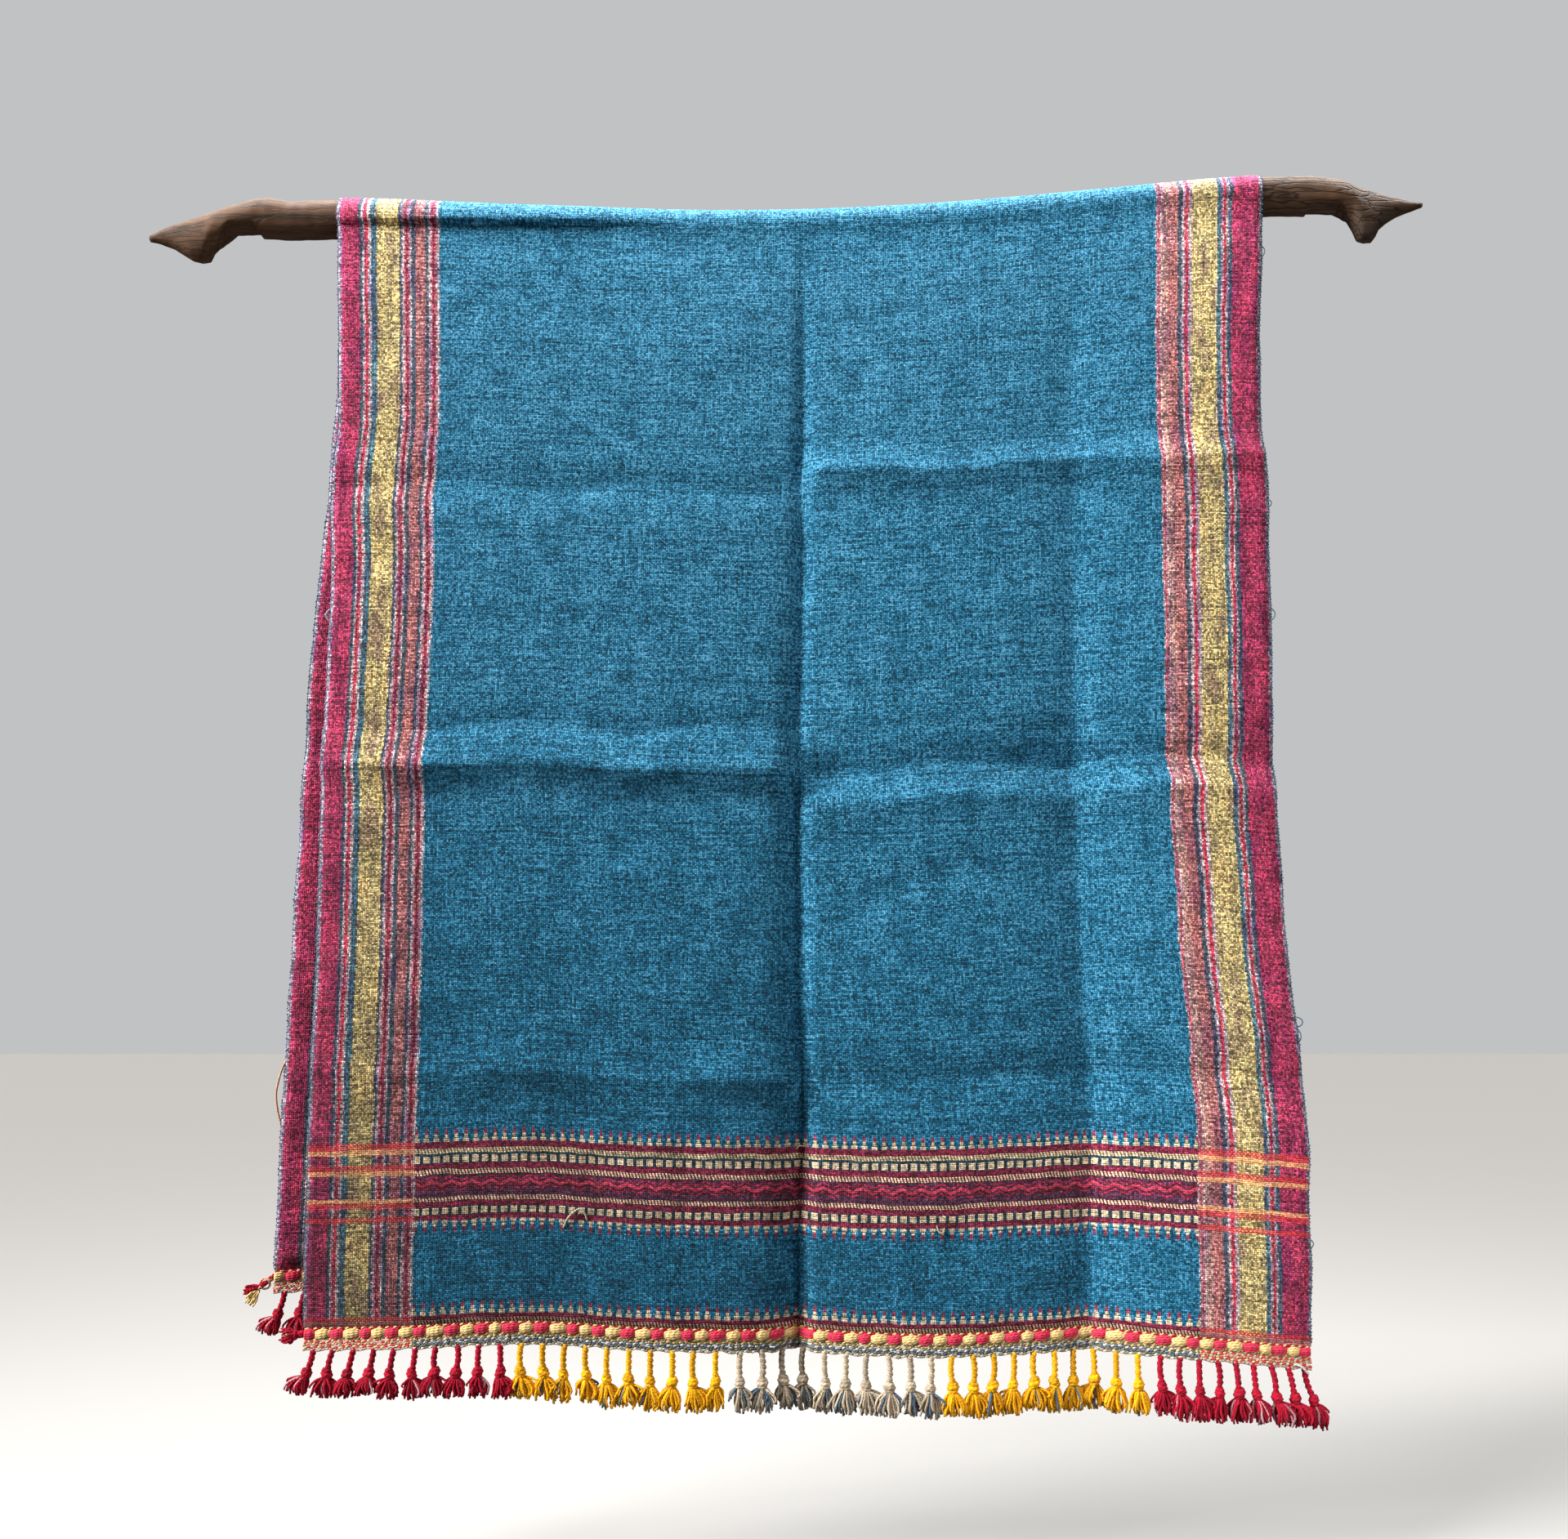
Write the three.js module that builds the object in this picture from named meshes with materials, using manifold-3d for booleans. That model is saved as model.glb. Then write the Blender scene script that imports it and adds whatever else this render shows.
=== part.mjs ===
// A handwoven blanket shawl hung over a carved wooden rod.
// Millimetres, +Z up, the shawl's front drop towards -Y and its width along X.
// The origin is midway between the two seats on which the rod is held.

import * as THREE from "three";
import { mergeVertices } from "three/addons/utils/BufferGeometryUtils.js";
import Module from "manifold-3d";

const wasm = await Module();
wasm.setup();

// ---- driving dimensions ----

const SEAM_GAP = 0.4; // between pieces that touch on the real shawl
const CLOTH_THICKNESS = 2;

// The rod: a round stave that rises to the right and sags in the middle.
const ROD_HEIGHT = 40;
const ROD_DEPTH = 36;
const ROD_SIDES = 12;
const ROD_MID_Z = 10.4; // axis height at x = 0 before the sag
const ROD_RISE = 0.0262; // mm of rise for each mm to the right
const ROD_SAG = 25;
const ROD_SAG_CENTRE = 17;
const ROD_SAG_SPAN = 963;
const ROD_SAG_POWER = 1.3;
const SEAT_HEIGHT = 11; // the left seat is this far below the origin, the right one above

// Carved ends, from each tip inwards: the top line, the underside, how far down the round
// section would reach without the notch, and the full depth from front to back.
const ROD_LEFT_END = [
  { x: -661.5, top: -20, bottom: -25.5, keel: -25.5, depth: 7 },
  { x: -651, top: -14.5, bottom: -28, keel: -28, depth: 14 },
  { x: -636, top: -8.2, bottom: -33.5, keel: -33.5, depth: 20 },
  { x: -625, top: -4, bottom: -40.7, keel: -40.7, depth: 24 },
  { x: -615, top: -0.8, bottom: -47.1, keel: -47.1, depth: 27 },
  { x: -607, top: 2.3, bottom: -48.7, keel: -48.7, depth: 29 },
  { x: -599.5, top: 4.5, bottom: -47.8, keel: -47.8, depth: 31 },
  { x: -596.5, top: 5.2, bottom: -39.5, keel: -39.5, depth: 32 },
  { x: -592, top: 6.7, bottom: -31.5, keel: -34, depth: 33 },
  { x: -585, top: 9.4, bottom: -22, keel: -30.5, depth: 34 },
  { x: -576, top: 12.6, bottom: -SEAT_HEIGHT, keel: -27, depth: 35 },
  { x: -551, top: 19.7, bottom: -SEAT_HEIGHT, keel: -21, depth: 36 },
  { x: -546, top: 20.4, bottom: -18.5, keel: -21, depth: 36 },
  { x: -536, top: 21, bottom: -21.5, keel: -21.5, depth: 36 },
];
const ROD_RIGHT_END = [
  { x: 545, top: 45.4, bottom: 3.2, keel: 3.2, depth: 36 },
  { x: 549, top: 45.2, bottom: SEAT_HEIGHT, keel: 3.6, depth: 36 },
  { x: 578, top: 41.5, bottom: SEAT_HEIGHT, keel: 1, depth: 35 },
  { x: 584, top: 40, bottom: 5.7, keel: 0, depth: 34 },
  { x: 591, top: 37.5, bottom: -3.2, keel: -3.2, depth: 33 },
  { x: 597, top: 35.4, bottom: -16.3, keel: -16.3, depth: 32 },
  { x: 600, top: 34, bottom: -25.2, keel: -25.2, depth: 31 },
  { x: 606, top: 31.9, bottom: -27.3, keel: -27.3, depth: 30 },
  { x: 613, top: 29.3, bottom: -26.6, keel: -26.6, depth: 28 },
  { x: 617, top: 27.8, bottom: -21.1, keel: -21.1, depth: 27 },
  { x: 621, top: 26.6, bottom: -12.8, keel: -12.8, depth: 26 },
  { x: 629, top: 24.2, bottom: -6, keel: -6, depth: 23 },
  { x: 642, top: 20.8, bottom: 2.3, keel: 2.3, depth: 18 },
  { x: 655, top: 17.8, bottom: 7.2, keel: 7.2, depth: 12 },
  { x: 667.5, top: 16.8, bottom: 12, keel: 12, depth: 6 },
];

// The shawl across its width, as shares from the left selvedge to the right one.
const LEFT_AT_ROD = -461;
const RIGHT_AT_ROD = 495;
const CENTRE_CREASE = 0.498;
const QUARTER_CREASES = [0.271, 0.795];
const ACROSS = [
  0, 0.04, 0.11, 0.19, 0.25, 0.271, 0.292, 0.34, 0.42, 0.475, 0.498,
  0.521, 0.57, 0.65, 0.73, 0.775, 0.795, 0.815, 0.86, 0.91, 0.96, 1,
];

// Where the selvedges hang, by share of the drop from the rod to the hem.
const FRONT_EDGES = [
  { down: 0, left: -461, right: 495 },
  { down: 0.2, left: -452, right: 484 },
  { down: 0.27, left: -457, right: 487.5 },
  { down: 0.34, left: -453, right: 486.5 },
  { down: 0.52, left: -455.5, right: 484.5 },
  { down: 0.7, left: -454.5, right: 491 },
  { down: 0.81, left: -455.5, right: 501 },
  { down: 1, left: -454, right: 498 },
];
const BACK_EDGES = [
  { down: 0, left: -461, right: 495 },
  { down: 0.27, left: -470, right: 482 },
  { down: 0.42, left: -481, right: 470 },
  { down: 0.7, left: -491, right: 461 },
  { down: 1, left: -496, right: 455 },
];

// Height of the middle of the braid that finishes each end, by share of the width.
const FRONT_HEM = [
  { across: 0, z: -1121 },
  { across: 0.11, z: -1116 },
  { across: 0.22, z: -1112 },
  { across: 0.33, z: -1117 },
  { across: 0.6, z: -1123 },
  { across: 0.78, z: -1120 },
  { across: 0.9, z: -1126 },
  { across: 1, z: -1138 },
];
const BACK_HEM = [
  { across: 0, z: -1076 },
  { across: 0.25, z: -1070 },
  { across: 0.5, z: -1074 },
  { across: 0.75, z: -1062 },
  { across: 1, z: -1046 },
];

// Creases left by folding: the shawl bellies out between the lengthwise ones, and each
// crosswise one turns from a ridge into a trough where it meets the centre crease.
const BELLY_TOP = 3;
const BELLY_HEM = 15;
const CENTRE_GROOVE = 5;
const CENTRE_GROOVE_HALF = 0.022;
const TUCK_UNDER_ROD = 2.5; // how far the cloth sinks in just below the rod
const TUCK_DROP = 24;
const CROSS_CREASES = [
  { down: 0.245, left: -3, right: 3.5 },
  { down: 0.52, left: 6, right: -5 },
  { down: 0.78, left: 5, right: -2.5 },
];
const CROSS_CREASE_HALF = 0.032;
const PLAIN_ROWS = [0, 0.055, 0.12, 0.18, 0.32, 0.4, 0.46, 0.6, 0.68, 0.86, 0.93, 1];

// Braid and twined heading along each end.
const BRAID_HALF_HEIGHT = 5.2;
const BRAID_HALF_THICKNESS = 3.1;
const BRAID_WAIST = 0.78;
const BRAID_STITCH = 14;
const BRAID_CORNERS = 6;
const HEADING_DROP = 2 * BRAID_HALF_HEIGHT + 2 * SEAM_GAP + 0.2; // from the cloth's edge
const HEADING_HEIGHT = 10.5;
const HEADING_THICKNESS = 3;

// Tassels: a twisted stem, a knot and a tuft, in yarn colours from left to right.
const FRINGE = [
  { name: "red_left", colour: "#a8102f", from: -444, to: -266, count: 10 },
  { name: "yellow_left", colour: "#eda51b", from: -246, to: -64, count: 10 },
  { name: "cream", colour: "#b9a88c", from: -41, to: 137, count: 10 },
  { name: "yellow_right", colour: "#eda51b", from: 157, to: 331, count: 10 },
  { name: "red_right", colour: "#a8102f", from: 352, to: 490, count: 9 },
];
const BACK_FRINGE_SHIFT = -42;
const TASSEL_SHORT = 42;
const TASSEL_LONG = 57;
const TASSEL_LONG_FROM = 0.35; // share of the width at which they reach full length
const TASSEL_SHAPE = [
  { along: 0, width: 5, depth: 5 },
  { along: 0.42, width: 5, depth: 5 },
  { along: 0.52, width: 10.5, depth: 9.5 },
  { along: 0.62, width: 7.5, depth: 7 },
  { along: 0.9, width: 15.5, depth: 10.5 },
  { along: 1, width: 14, depth: 8.5 },
];
const TASSEL_ROOT = 2; // how far a stem runs up into the heading
const LEAN_LEFT = -13;
const LEAN_RIGHT = 19;
const LEAN_LEFT_REACH = 0.2;
const LEAN_RIGHT_REACH = 0.14;

// Tufts on the loose ends of the two braids, at the left corners.
const CORNER_FRONT = [
  { out: 0, drop: 0, size: 7 },
  { out: 5, drop: 0, size: 12 },
  { out: 12, drop: 1, size: 20 },
  { out: 20, drop: 2, size: 17 },
];
const CORNER_BACK = [
  { out: 0, drop: 0, size: 7 },
  { out: 8, drop: 4, size: 9 },
  { out: 15, drop: 10, size: 19 },
  { out: 27, drop: 17, size: 20 },
];

const WOOL = { roughness: 0.95, metalness: 0 };

// ---- lines worked out from those sizes ----

// A smooth curve through a table's rows: Hermite, with slopes from the neighbours.
function curve(rows, key, value, at) {
  const last = rows.length - 1;
  const x = Math.min(Math.max(at, rows[0][key]), rows[last][key]);
  let i = 0;
  while (i < last - 1 && x > rows[i + 1][key]) i += 1;
  const slope = (k) => {
    const a = rows[Math.max(k - 1, 0)];
    const b = rows[Math.min(k + 1, last)];
    return (b[value] - a[value]) / (b[key] - a[key]);
  };
  const width = rows[i + 1][key] - rows[i][key];
  const t = (x - rows[i][key]) / width;
  const rise = rows[i + 1][value] - rows[i][value];
  const bend = (1 - t) * (slope(i) * width - rise) + t * (rise - slope(i + 1) * width);
  return rows[i][value] + t * rise + t * (1 - t) * bend;
}

function rodAxis(x) {
  const turn = Math.cos((Math.PI * (x - ROD_SAG_CENTRE)) / ROD_SAG_SPAN);
  const inSpan = Math.abs(x - ROD_SAG_CENTRE) < ROD_SAG_SPAN / 2;
  const sag = inSpan ? ROD_SAG * Math.pow(Math.max(turn, 0), ROD_SAG_POWER) : 0;
  return ROD_MID_Z + ROD_RISE * x - sag;
}

function atRod(across) {
  return LEFT_AT_ROD + (RIGHT_AT_ROD - LEFT_AT_ROD) * across;
}

function clothRows() {
  const rows = [...PLAIN_ROWS, TUCK_DROP / 1140];
  for (const crease of CROSS_CREASES) {
    rows.push(crease.down - CROSS_CREASE_HALF, crease.down, crease.down + CROSS_CREASE_HALF);
  }
  return rows.sort((a, b) => a - b);
}

// How far the cloth stands out from the plane in which it leaves the rod.
function standOut(across, down) {
  const marks = [0, QUARTER_CREASES[0], CENTRE_CREASE, QUARTER_CREASES[1], 1];
  const panel = Math.min(marks.findIndex((mark, i) => across <= marks[i + 1]), 3);
  const t = (across - marks[panel]) / (marks[panel + 1] - marks[panel]);
  const belly = 4 * t * (1 - t) * (BELLY_TOP + (BELLY_HEM - BELLY_TOP) * down) * Math.min(1, 8 * down);
  const fromCentre = Math.abs(across - CENTRE_CREASE) / CENTRE_GROOVE_HALF;
  const groove = CENTRE_GROOVE * Math.max(0, 1 - fromCentre) * Math.min(1, 8 * down);
  let out = belly - groove;
  for (const crease of CROSS_CREASES) {
    const near = Math.max(0, 1 - Math.abs(down - crease.down) / CROSS_CREASE_HALF);
    const clear = Math.min(1, fromCentre);
    out += near * clear * (across < CENTRE_CREASE ? crease.left : crease.right);
  }
  const tuck = Math.max(0, 1 - Math.abs(down * 1140 - TUCK_DROP) / TUCK_DROP);
  return out - TUCK_UNDER_ROD * tuck;
}

// A point in the middle of the cloth's wall. side is -1 on the front drop, +1 on the back.
function dropPoint(side, across, down) {
  const edges = side < 0 ? FRONT_EDGES : BACK_EDGES;
  const hem = side < 0 ? FRONT_HEM : BACK_HEM;
  const left = curve(edges, "down", "left", down);
  const right = curve(edges, "down", "right", down);
  const top = rodAxis(atRod(across)) - SEAM_GAP;
  const bottom = curve(hem, "across", "z", across) + BRAID_HALF_HEIGHT + SEAM_GAP;
  const leaves = ROD_DEPTH / 2 + SEAM_GAP + CLOTH_THICKNESS / 2;
  return new THREE.Vector3(
    left + (right - left) * across,
    side * (leaves + standOut(across, down)),
    top + (bottom - top) * down,
  );
}

// The hem as the wall has it: straight between the wall's own columns, its knots.
function hemLine(side) {
  const points = ACROSS.map((across) => dropPoint(side, across, 1));
  const at = (x) => {
    let i = 0;
    while (i < points.length - 2 && x > points[i + 1].x) i += 1;
    const t = (x - points[i].x) / (points[i + 1].x - points[i].x);
    return new THREE.Vector3().lerpVectors(points[i], points[i + 1], t).setX(x);
  };
  return { at, knots: points.map((point) => point.x) };
}

// ---- solids ----

function solid(name, geometry, colour, finish) {
  geometry.computeVertexNormals();
  const mesh = new THREE.Mesh(geometry, new THREE.MeshStandardMaterial({ color: colour, ...finish }));
  mesh.name = name;
  return mesh;
}

function geometryOf(points, triangles) {
  const geometry = new THREE.BufferGeometry().setFromPoints(points);
  geometry.setIndex(triangles);
  return geometry;
}

// A closed tube through rings of points, each ring turning from +Z towards +Y as the rings
// go towards +X.
function loft(rings) {
  const points = rings.flat();
  const n = rings[0].length;
  const triangles = [];
  for (let r = 0; r < rings.length - 1; r += 1) {
    for (let k = 0; k < n; k += 1) {
      const a = r * n + k;
      const b = r * n + ((k + 1) % n);
      triangles.push(a, a + n, b, b, a + n, b + n);
    }
  }
  const end = (rings.length - 1) * n;
  for (let k = 1; k < n - 1; k += 1) {
    triangles.push(0, k, k + 1);
    triangles.push(end, end + k + 1, end + k);
  }
  return geometryOf(points, triangles);
}

// A closed wall between two grids of points. Seen from the outer grid's side, its rows go
// down and its columns go right.
function wall(outer, inner) {
  const rows = outer.length;
  const columns = outer[0].length;
  const points = [...outer.flat(), ...inner.flat()];
  const under = rows * columns;
  const triangles = [];
  const quad = (a, b, c, d) => triangles.push(a, b, c, a, c, d);
  for (let r = 0; r < rows - 1; r += 1) {
    for (let c = 0; c < columns - 1; c += 1) {
      const a = r * columns + c;
      quad(a, a + columns, a + columns + 1, a + 1);
      quad(a + under, a + 1 + under, a + columns + 1 + under, a + columns + under);
    }
  }
  for (let r = 0; r < rows - 1; r += 1) {
    const left = r * columns;
    const right = left + columns - 1;
    quad(left, left + under, left + columns + under, left + columns);
    quad(right, right + columns, right + columns + under, right + under);
  }
  for (let c = 0; c < columns - 1; c += 1) {
    const top = c;
    const bottom = (rows - 1) * columns + c;
    quad(top, top + 1, top + 1 + under, top + under);
    quad(bottom, bottom + under, bottom + 1 + under, bottom + 1);
  }
  return geometryOf(points, triangles);
}

// ---- the rod ----

function rodRing({ x, top, bottom, keel, depth }) {
  const ring = [];
  for (let k = 0; k < ROD_SIDES; k += 1) {
    const angle = (2 * Math.PI * k) / ROD_SIDES;
    const z = (top + keel) / 2 + ((top - keel) / 2) * Math.cos(angle);
    ring.push(new THREE.Vector3(x, (depth / 2) * Math.sin(angle), Math.max(z, bottom)));
  }
  return ring;
}

function rod() {
  const round = [...ACROSS.map(atRod)];
  round.unshift(-515);
  round.push(520);
  const middle = round.map((x) => {
    const bottom = rodAxis(x) - ROD_HEIGHT / 2;
    return { x, top: bottom + ROD_HEIGHT, bottom, keel: bottom, depth: ROD_DEPTH };
  });
  const rings = [...ROD_LEFT_END, ...middle, ...ROD_RIGHT_END].map(rodRing);
  return solid("rod", loft(rings), "#6d5442", { roughness: 0.75, metalness: 0 });
}

// ---- the cloth ----

function clothOverRod() {
  const halfTurn = ROD_SIDES / 2;
  const skin = (away) => {
    const rows = [];
    for (let k = halfTurn; k >= 0; k -= 1) {
      const angle = Math.PI * (k / halfTurn - 0.5);
      rows.push(ACROSS.map((across) => new THREE.Vector3(
        atRod(across),
        -(ROD_DEPTH / 2 + away) * Math.sin(-angle),
        rodAxis(atRod(across)) + (ROD_HEIGHT / 2 + away) * Math.cos(angle),
      )));
    }
    return rows;
  };
  const geometry = wall(skin(SEAM_GAP + CLOTH_THICKNESS), skin(SEAM_GAP));
  return solid("cloth_over_rod", geometry, "#2b719b", WOOL);
}

function clothDrop(side, name) {
  const columns = side < 0 ? ACROSS : [...ACROSS].reverse();
  const face = (out) => clothRows().map((down) => columns.map((across) => {
    const point = dropPoint(side, across, down);
    point.y += (side * out * CLOTH_THICKNESS) / 2;
    return point;
  }));
  return solid(name, wall(face(1), face(-1)), "#2b719b", WOOL);
}

// ---- braid and corner tufts ----

function braid(side, name) {
  const line = hemLine(side);
  const edges = side < 0 ? FRONT_EDGES : BACK_EDGES;
  const { left, right } = edges[edges.length - 1];
  const stitches = Math.round((right - left) / BRAID_STITCH);
  const rings = [];
  for (let i = 0; i <= 2 * stitches; i += 1) {
    const x = left + ((right - left) * i) / (2 * stitches);
    const plump = i % 2 ? 1 : BRAID_WAIST;
    const hem = line.at(x);
    const middle = hem.z - SEAM_GAP - BRAID_HALF_HEIGHT;
    const ring = [];
    for (let k = 0; k < BRAID_CORNERS; k += 1) {
      const angle = (2 * Math.PI * k) / BRAID_CORNERS;
      ring.push(new THREE.Vector3(
        x,
        hem.y + plump * BRAID_HALF_THICKNESS * Math.sin(angle),
        middle + plump * BRAID_HALF_HEIGHT * Math.cos(angle),
      ));
    }
    rings.push(ring);
  }
  return solid(name, loft(rings), "#d8956a", WOOL);
}

function cornerTuft(side, shape, name) {
  const edges = side < 0 ? FRONT_EDGES : BACK_EDGES;
  const { left } = edges[edges.length - 1];
  const hem = hemLine(side).at(left);
  const middle = hem.z - SEAM_GAP - BRAID_HALF_HEIGHT;
  const rings = [...shape].reverse().map(({ out, drop, size }) => {
    const ring = [];
    for (let k = 0; k < 4; k += 1) {
      const angle = (Math.PI / 2) * (k + 0.5);
      ring.push(new THREE.Vector3(
        left - SEAM_GAP - out,
        hem.y + (size / 2) * 0.6 * Math.sin(angle) * Math.SQRT2,
        middle - drop + (size / 2) * Math.cos(angle) * Math.SQRT2,
      ));
    }
    return ring;
  });
  return solid(name, loft(rings), "#c22a45", WOOL);
}

// ---- fringe ----

function asManifold(geometry) {
  const bare = geometry.clone();
  bare.deleteAttribute("normal");
  bare.deleteAttribute("uv");
  const merged = mergeVertices(bare, 1e-4);
  return new wasm.Manifold(new wasm.Mesh({
    numProp: 3,
    vertProperties: new Float32Array(merged.attributes.position.array),
    triVerts: new Uint32Array(merged.index.array),
  }));
}

function fromManifold(manifold) {
  const mesh = manifold.getMesh();
  const geometry = new THREE.BufferGeometry();
  geometry.setAttribute("position", new THREE.BufferAttribute(mesh.vertProperties, 3));
  geometry.setIndex(new THREE.BufferAttribute(mesh.triVerts, 1));
  return geometry;
}

// The stretch of heading from which one colour's tassels hang.
function headingStrip(line, from, to) {
  const inside = line.knots.filter((x) => x > from + 1 && x < to - 1);
  const rings = [from, ...inside, to].map((x) => {
    const hem = line.at(x);
    const top = hem.z - HEADING_DROP;
    const half = HEADING_THICKNESS / 2;
    return [
      new THREE.Vector3(x, hem.y - half, top),
      new THREE.Vector3(x, hem.y + half, top),
      new THREE.Vector3(x, hem.y + half, top - HEADING_HEIGHT),
      new THREE.Vector3(x, hem.y - half, top - HEADING_HEIGHT),
    ];
  });
  return loft(rings);
}

function tassel(line, x, across) {
  const hem = line.at(x);
  const root = hem.z - HEADING_DROP - HEADING_HEIGHT + TASSEL_ROOT;
  const grown = Math.min(1, across / TASSEL_LONG_FROM);
  const length = TASSEL_SHORT + (TASSEL_LONG - TASSEL_SHORT) * grown + TASSEL_ROOT;
  const nearLeft = Math.max(0, 1 - across / LEAN_LEFT_REACH);
  const nearRight = Math.max(0, 1 - (1 - across) / LEAN_RIGHT_REACH);
  const lean = LEAN_LEFT * nearLeft + LEAN_RIGHT * nearRight * nearRight;
  const rings = TASSEL_SHAPE.map(({ along, width, depth }) => {
    const middle = x + lean * along;
    const z = root - length * along;
    return [
      new THREE.Vector3(middle - width / 2, hem.y - depth / 2, z),
      new THREE.Vector3(middle + width / 2, hem.y - depth / 2, z),
      new THREE.Vector3(middle + width / 2, hem.y + depth / 2, z),
      new THREE.Vector3(middle - width / 2, hem.y + depth / 2, z),
    ];
  });
  return loft(rings);
}

function fringe(side, group, i) {
  const line = hemLine(side);
  const edges = side < 0 ? FRONT_EDGES : BACK_EDGES;
  const { left, right } = edges[edges.length - 1];
  const shift = side < 0 ? 0 : BACK_FRINGE_SHIFT;
  const before = i > 0 ? (FRINGE[i - 1].to + group.from) / 2 + shift : left;
  const after = i < FRINGE.length - 1 ? (group.to + FRINGE[i + 1].from) / 2 + shift : right;
  const margin = SEAM_GAP / 2;
  let joined = asManifold(headingStrip(line, before + margin, after - margin));
  for (let k = 0; k < group.count; k += 1) {
    const x = group.from + ((group.to - group.from) * k) / (group.count - 1) + shift;
    joined = joined.add(asManifold(tassel(line, x, (x - left) / (right - left))));
  }
  const name = `fringe_${side < 0 ? "front" : "back"}_${group.name}`;
  return solid(name, fromManifold(joined), group.colour, WOOL);
}

// ---- the shawl on its rod ----

const shawl = new THREE.Group();
shawl.name = "blanket_shawl_on_rod";
shawl.add(rod(), clothOverRod());
for (const side of [-1, 1]) {
  const face = side < 0 ? "front" : "back";
  shawl.add(clothDrop(side, `cloth_${face}`));
  shawl.add(braid(side, `braid_${face}`));
  shawl.add(cornerTuft(side, side < 0 ? CORNER_FRONT : CORNER_BACK, `corner_tuft_${face}`));
  FRINGE.forEach((group, i) => shawl.add(fringe(side, group, i)));
}

export default shawl;
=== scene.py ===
# A handwoven blanket shawl hung over a carved wooden rod, in metres.
# +Z is up, the front drop faces -Y, and the origin is midway between the rod's two seats.

import math
import random

import bpy
import numpy as np
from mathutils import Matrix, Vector


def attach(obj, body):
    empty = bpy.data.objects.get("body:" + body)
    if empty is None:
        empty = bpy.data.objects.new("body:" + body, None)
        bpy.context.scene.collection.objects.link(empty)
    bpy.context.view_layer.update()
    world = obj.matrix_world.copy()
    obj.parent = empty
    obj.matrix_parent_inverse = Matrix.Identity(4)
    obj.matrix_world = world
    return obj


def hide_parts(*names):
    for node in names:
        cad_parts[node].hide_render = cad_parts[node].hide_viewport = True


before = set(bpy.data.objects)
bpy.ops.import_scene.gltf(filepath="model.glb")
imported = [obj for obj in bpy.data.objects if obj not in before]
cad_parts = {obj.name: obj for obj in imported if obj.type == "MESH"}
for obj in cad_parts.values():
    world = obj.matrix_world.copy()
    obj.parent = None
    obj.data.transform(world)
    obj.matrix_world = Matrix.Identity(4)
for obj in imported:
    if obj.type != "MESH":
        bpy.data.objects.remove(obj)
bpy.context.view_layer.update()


# ---- The rod ----
# A stave of hardwood, carved by hand to a barbed point at each end and notched underneath
# where two hooks carry it. It is dry and bare, grey with weather and finely cracked.

ROD_HEIGHT = 0.040
ROD_DEPTH = 0.036
ROD_MID_Z = 0.0104
ROD_RISE = 0.0262
ROD_SAG = 0.025
ROD_SAG_CENTRE = 0.017
ROD_SAG_SPAN = 0.963
ROD_SAG_POWER = 1.3
ROD_SIDES = 44
ROD_STAVE_FROM, ROD_STAVE_TO = -0.515, 0.520
ROD_STAVE_RINGS = 90
# Beyond this distance from the middle the rings are set closer, for the carving.
ROD_CARVED_BEYOND = 0.45
ROD_RING_STEP = 0.003

# Columns: x, top line, underside, keel that the round section would have, depth.
ROD_LEFT_END = [
    (-0.6615, -0.0200, -0.0255, -0.0255, 0.007),
    (-0.6510, -0.0145, -0.0280, -0.0280, 0.014),
    (-0.6360, -0.0082, -0.0335, -0.0335, 0.020),
    (-0.6250, -0.0040, -0.0407, -0.0407, 0.024),
    (-0.6150, -0.0008, -0.0471, -0.0471, 0.027),
    (-0.6070, 0.0023, -0.0487, -0.0487, 0.029),
    (-0.5995, 0.0045, -0.0478, -0.0478, 0.031),
    (-0.5965, 0.0052, -0.0395, -0.0395, 0.032),
    (-0.5920, 0.0067, -0.0315, -0.0340, 0.033),
    (-0.5850, 0.0094, -0.0220, -0.0305, 0.034),
    (-0.5760, 0.0126, -0.0110, -0.0270, 0.035),
    (-0.5510, 0.0197, -0.0110, -0.0210, 0.036),
    (-0.5460, 0.0204, -0.0185, -0.0210, 0.036),
    (-0.5360, 0.0210, -0.0215, -0.0215, 0.036),
]
ROD_RIGHT_END = [
    (0.5450, 0.0454, 0.0032, 0.0032, 0.036),
    (0.5490, 0.0452, 0.0110, 0.0036, 0.036),
    (0.5780, 0.0415, 0.0110, 0.0010, 0.035),
    (0.5840, 0.0400, 0.0057, 0.0000, 0.034),
    (0.5910, 0.0375, -0.0032, -0.0032, 0.033),
    (0.5970, 0.0354, -0.0163, -0.0163, 0.032),
    (0.6000, 0.0340, -0.0252, -0.0252, 0.031),
    (0.6060, 0.0319, -0.0273, -0.0273, 0.030),
    (0.6130, 0.0293, -0.0266, -0.0266, 0.028),
    (0.6170, 0.0278, -0.0211, -0.0211, 0.027),
    (0.6210, 0.0266, -0.0128, -0.0128, 0.026),
    (0.6290, 0.0242, -0.0060, -0.0060, 0.023),
    (0.6420, 0.0208, 0.0023, 0.0023, 0.018),
    (0.6550, 0.0178, 0.0072, 0.0072, 0.012),
    (0.6675, 0.0168, 0.0120, 0.0120, 0.006),
]

WOOD_DARK = (0.025, 0.011, 0.004)
WOOD_BROWN = (0.130, 0.052, 0.016)
WOOD_PALE = (0.200, 0.122, 0.076)
WOOD_GREY = (0.050, 0.036, 0.027)


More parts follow.
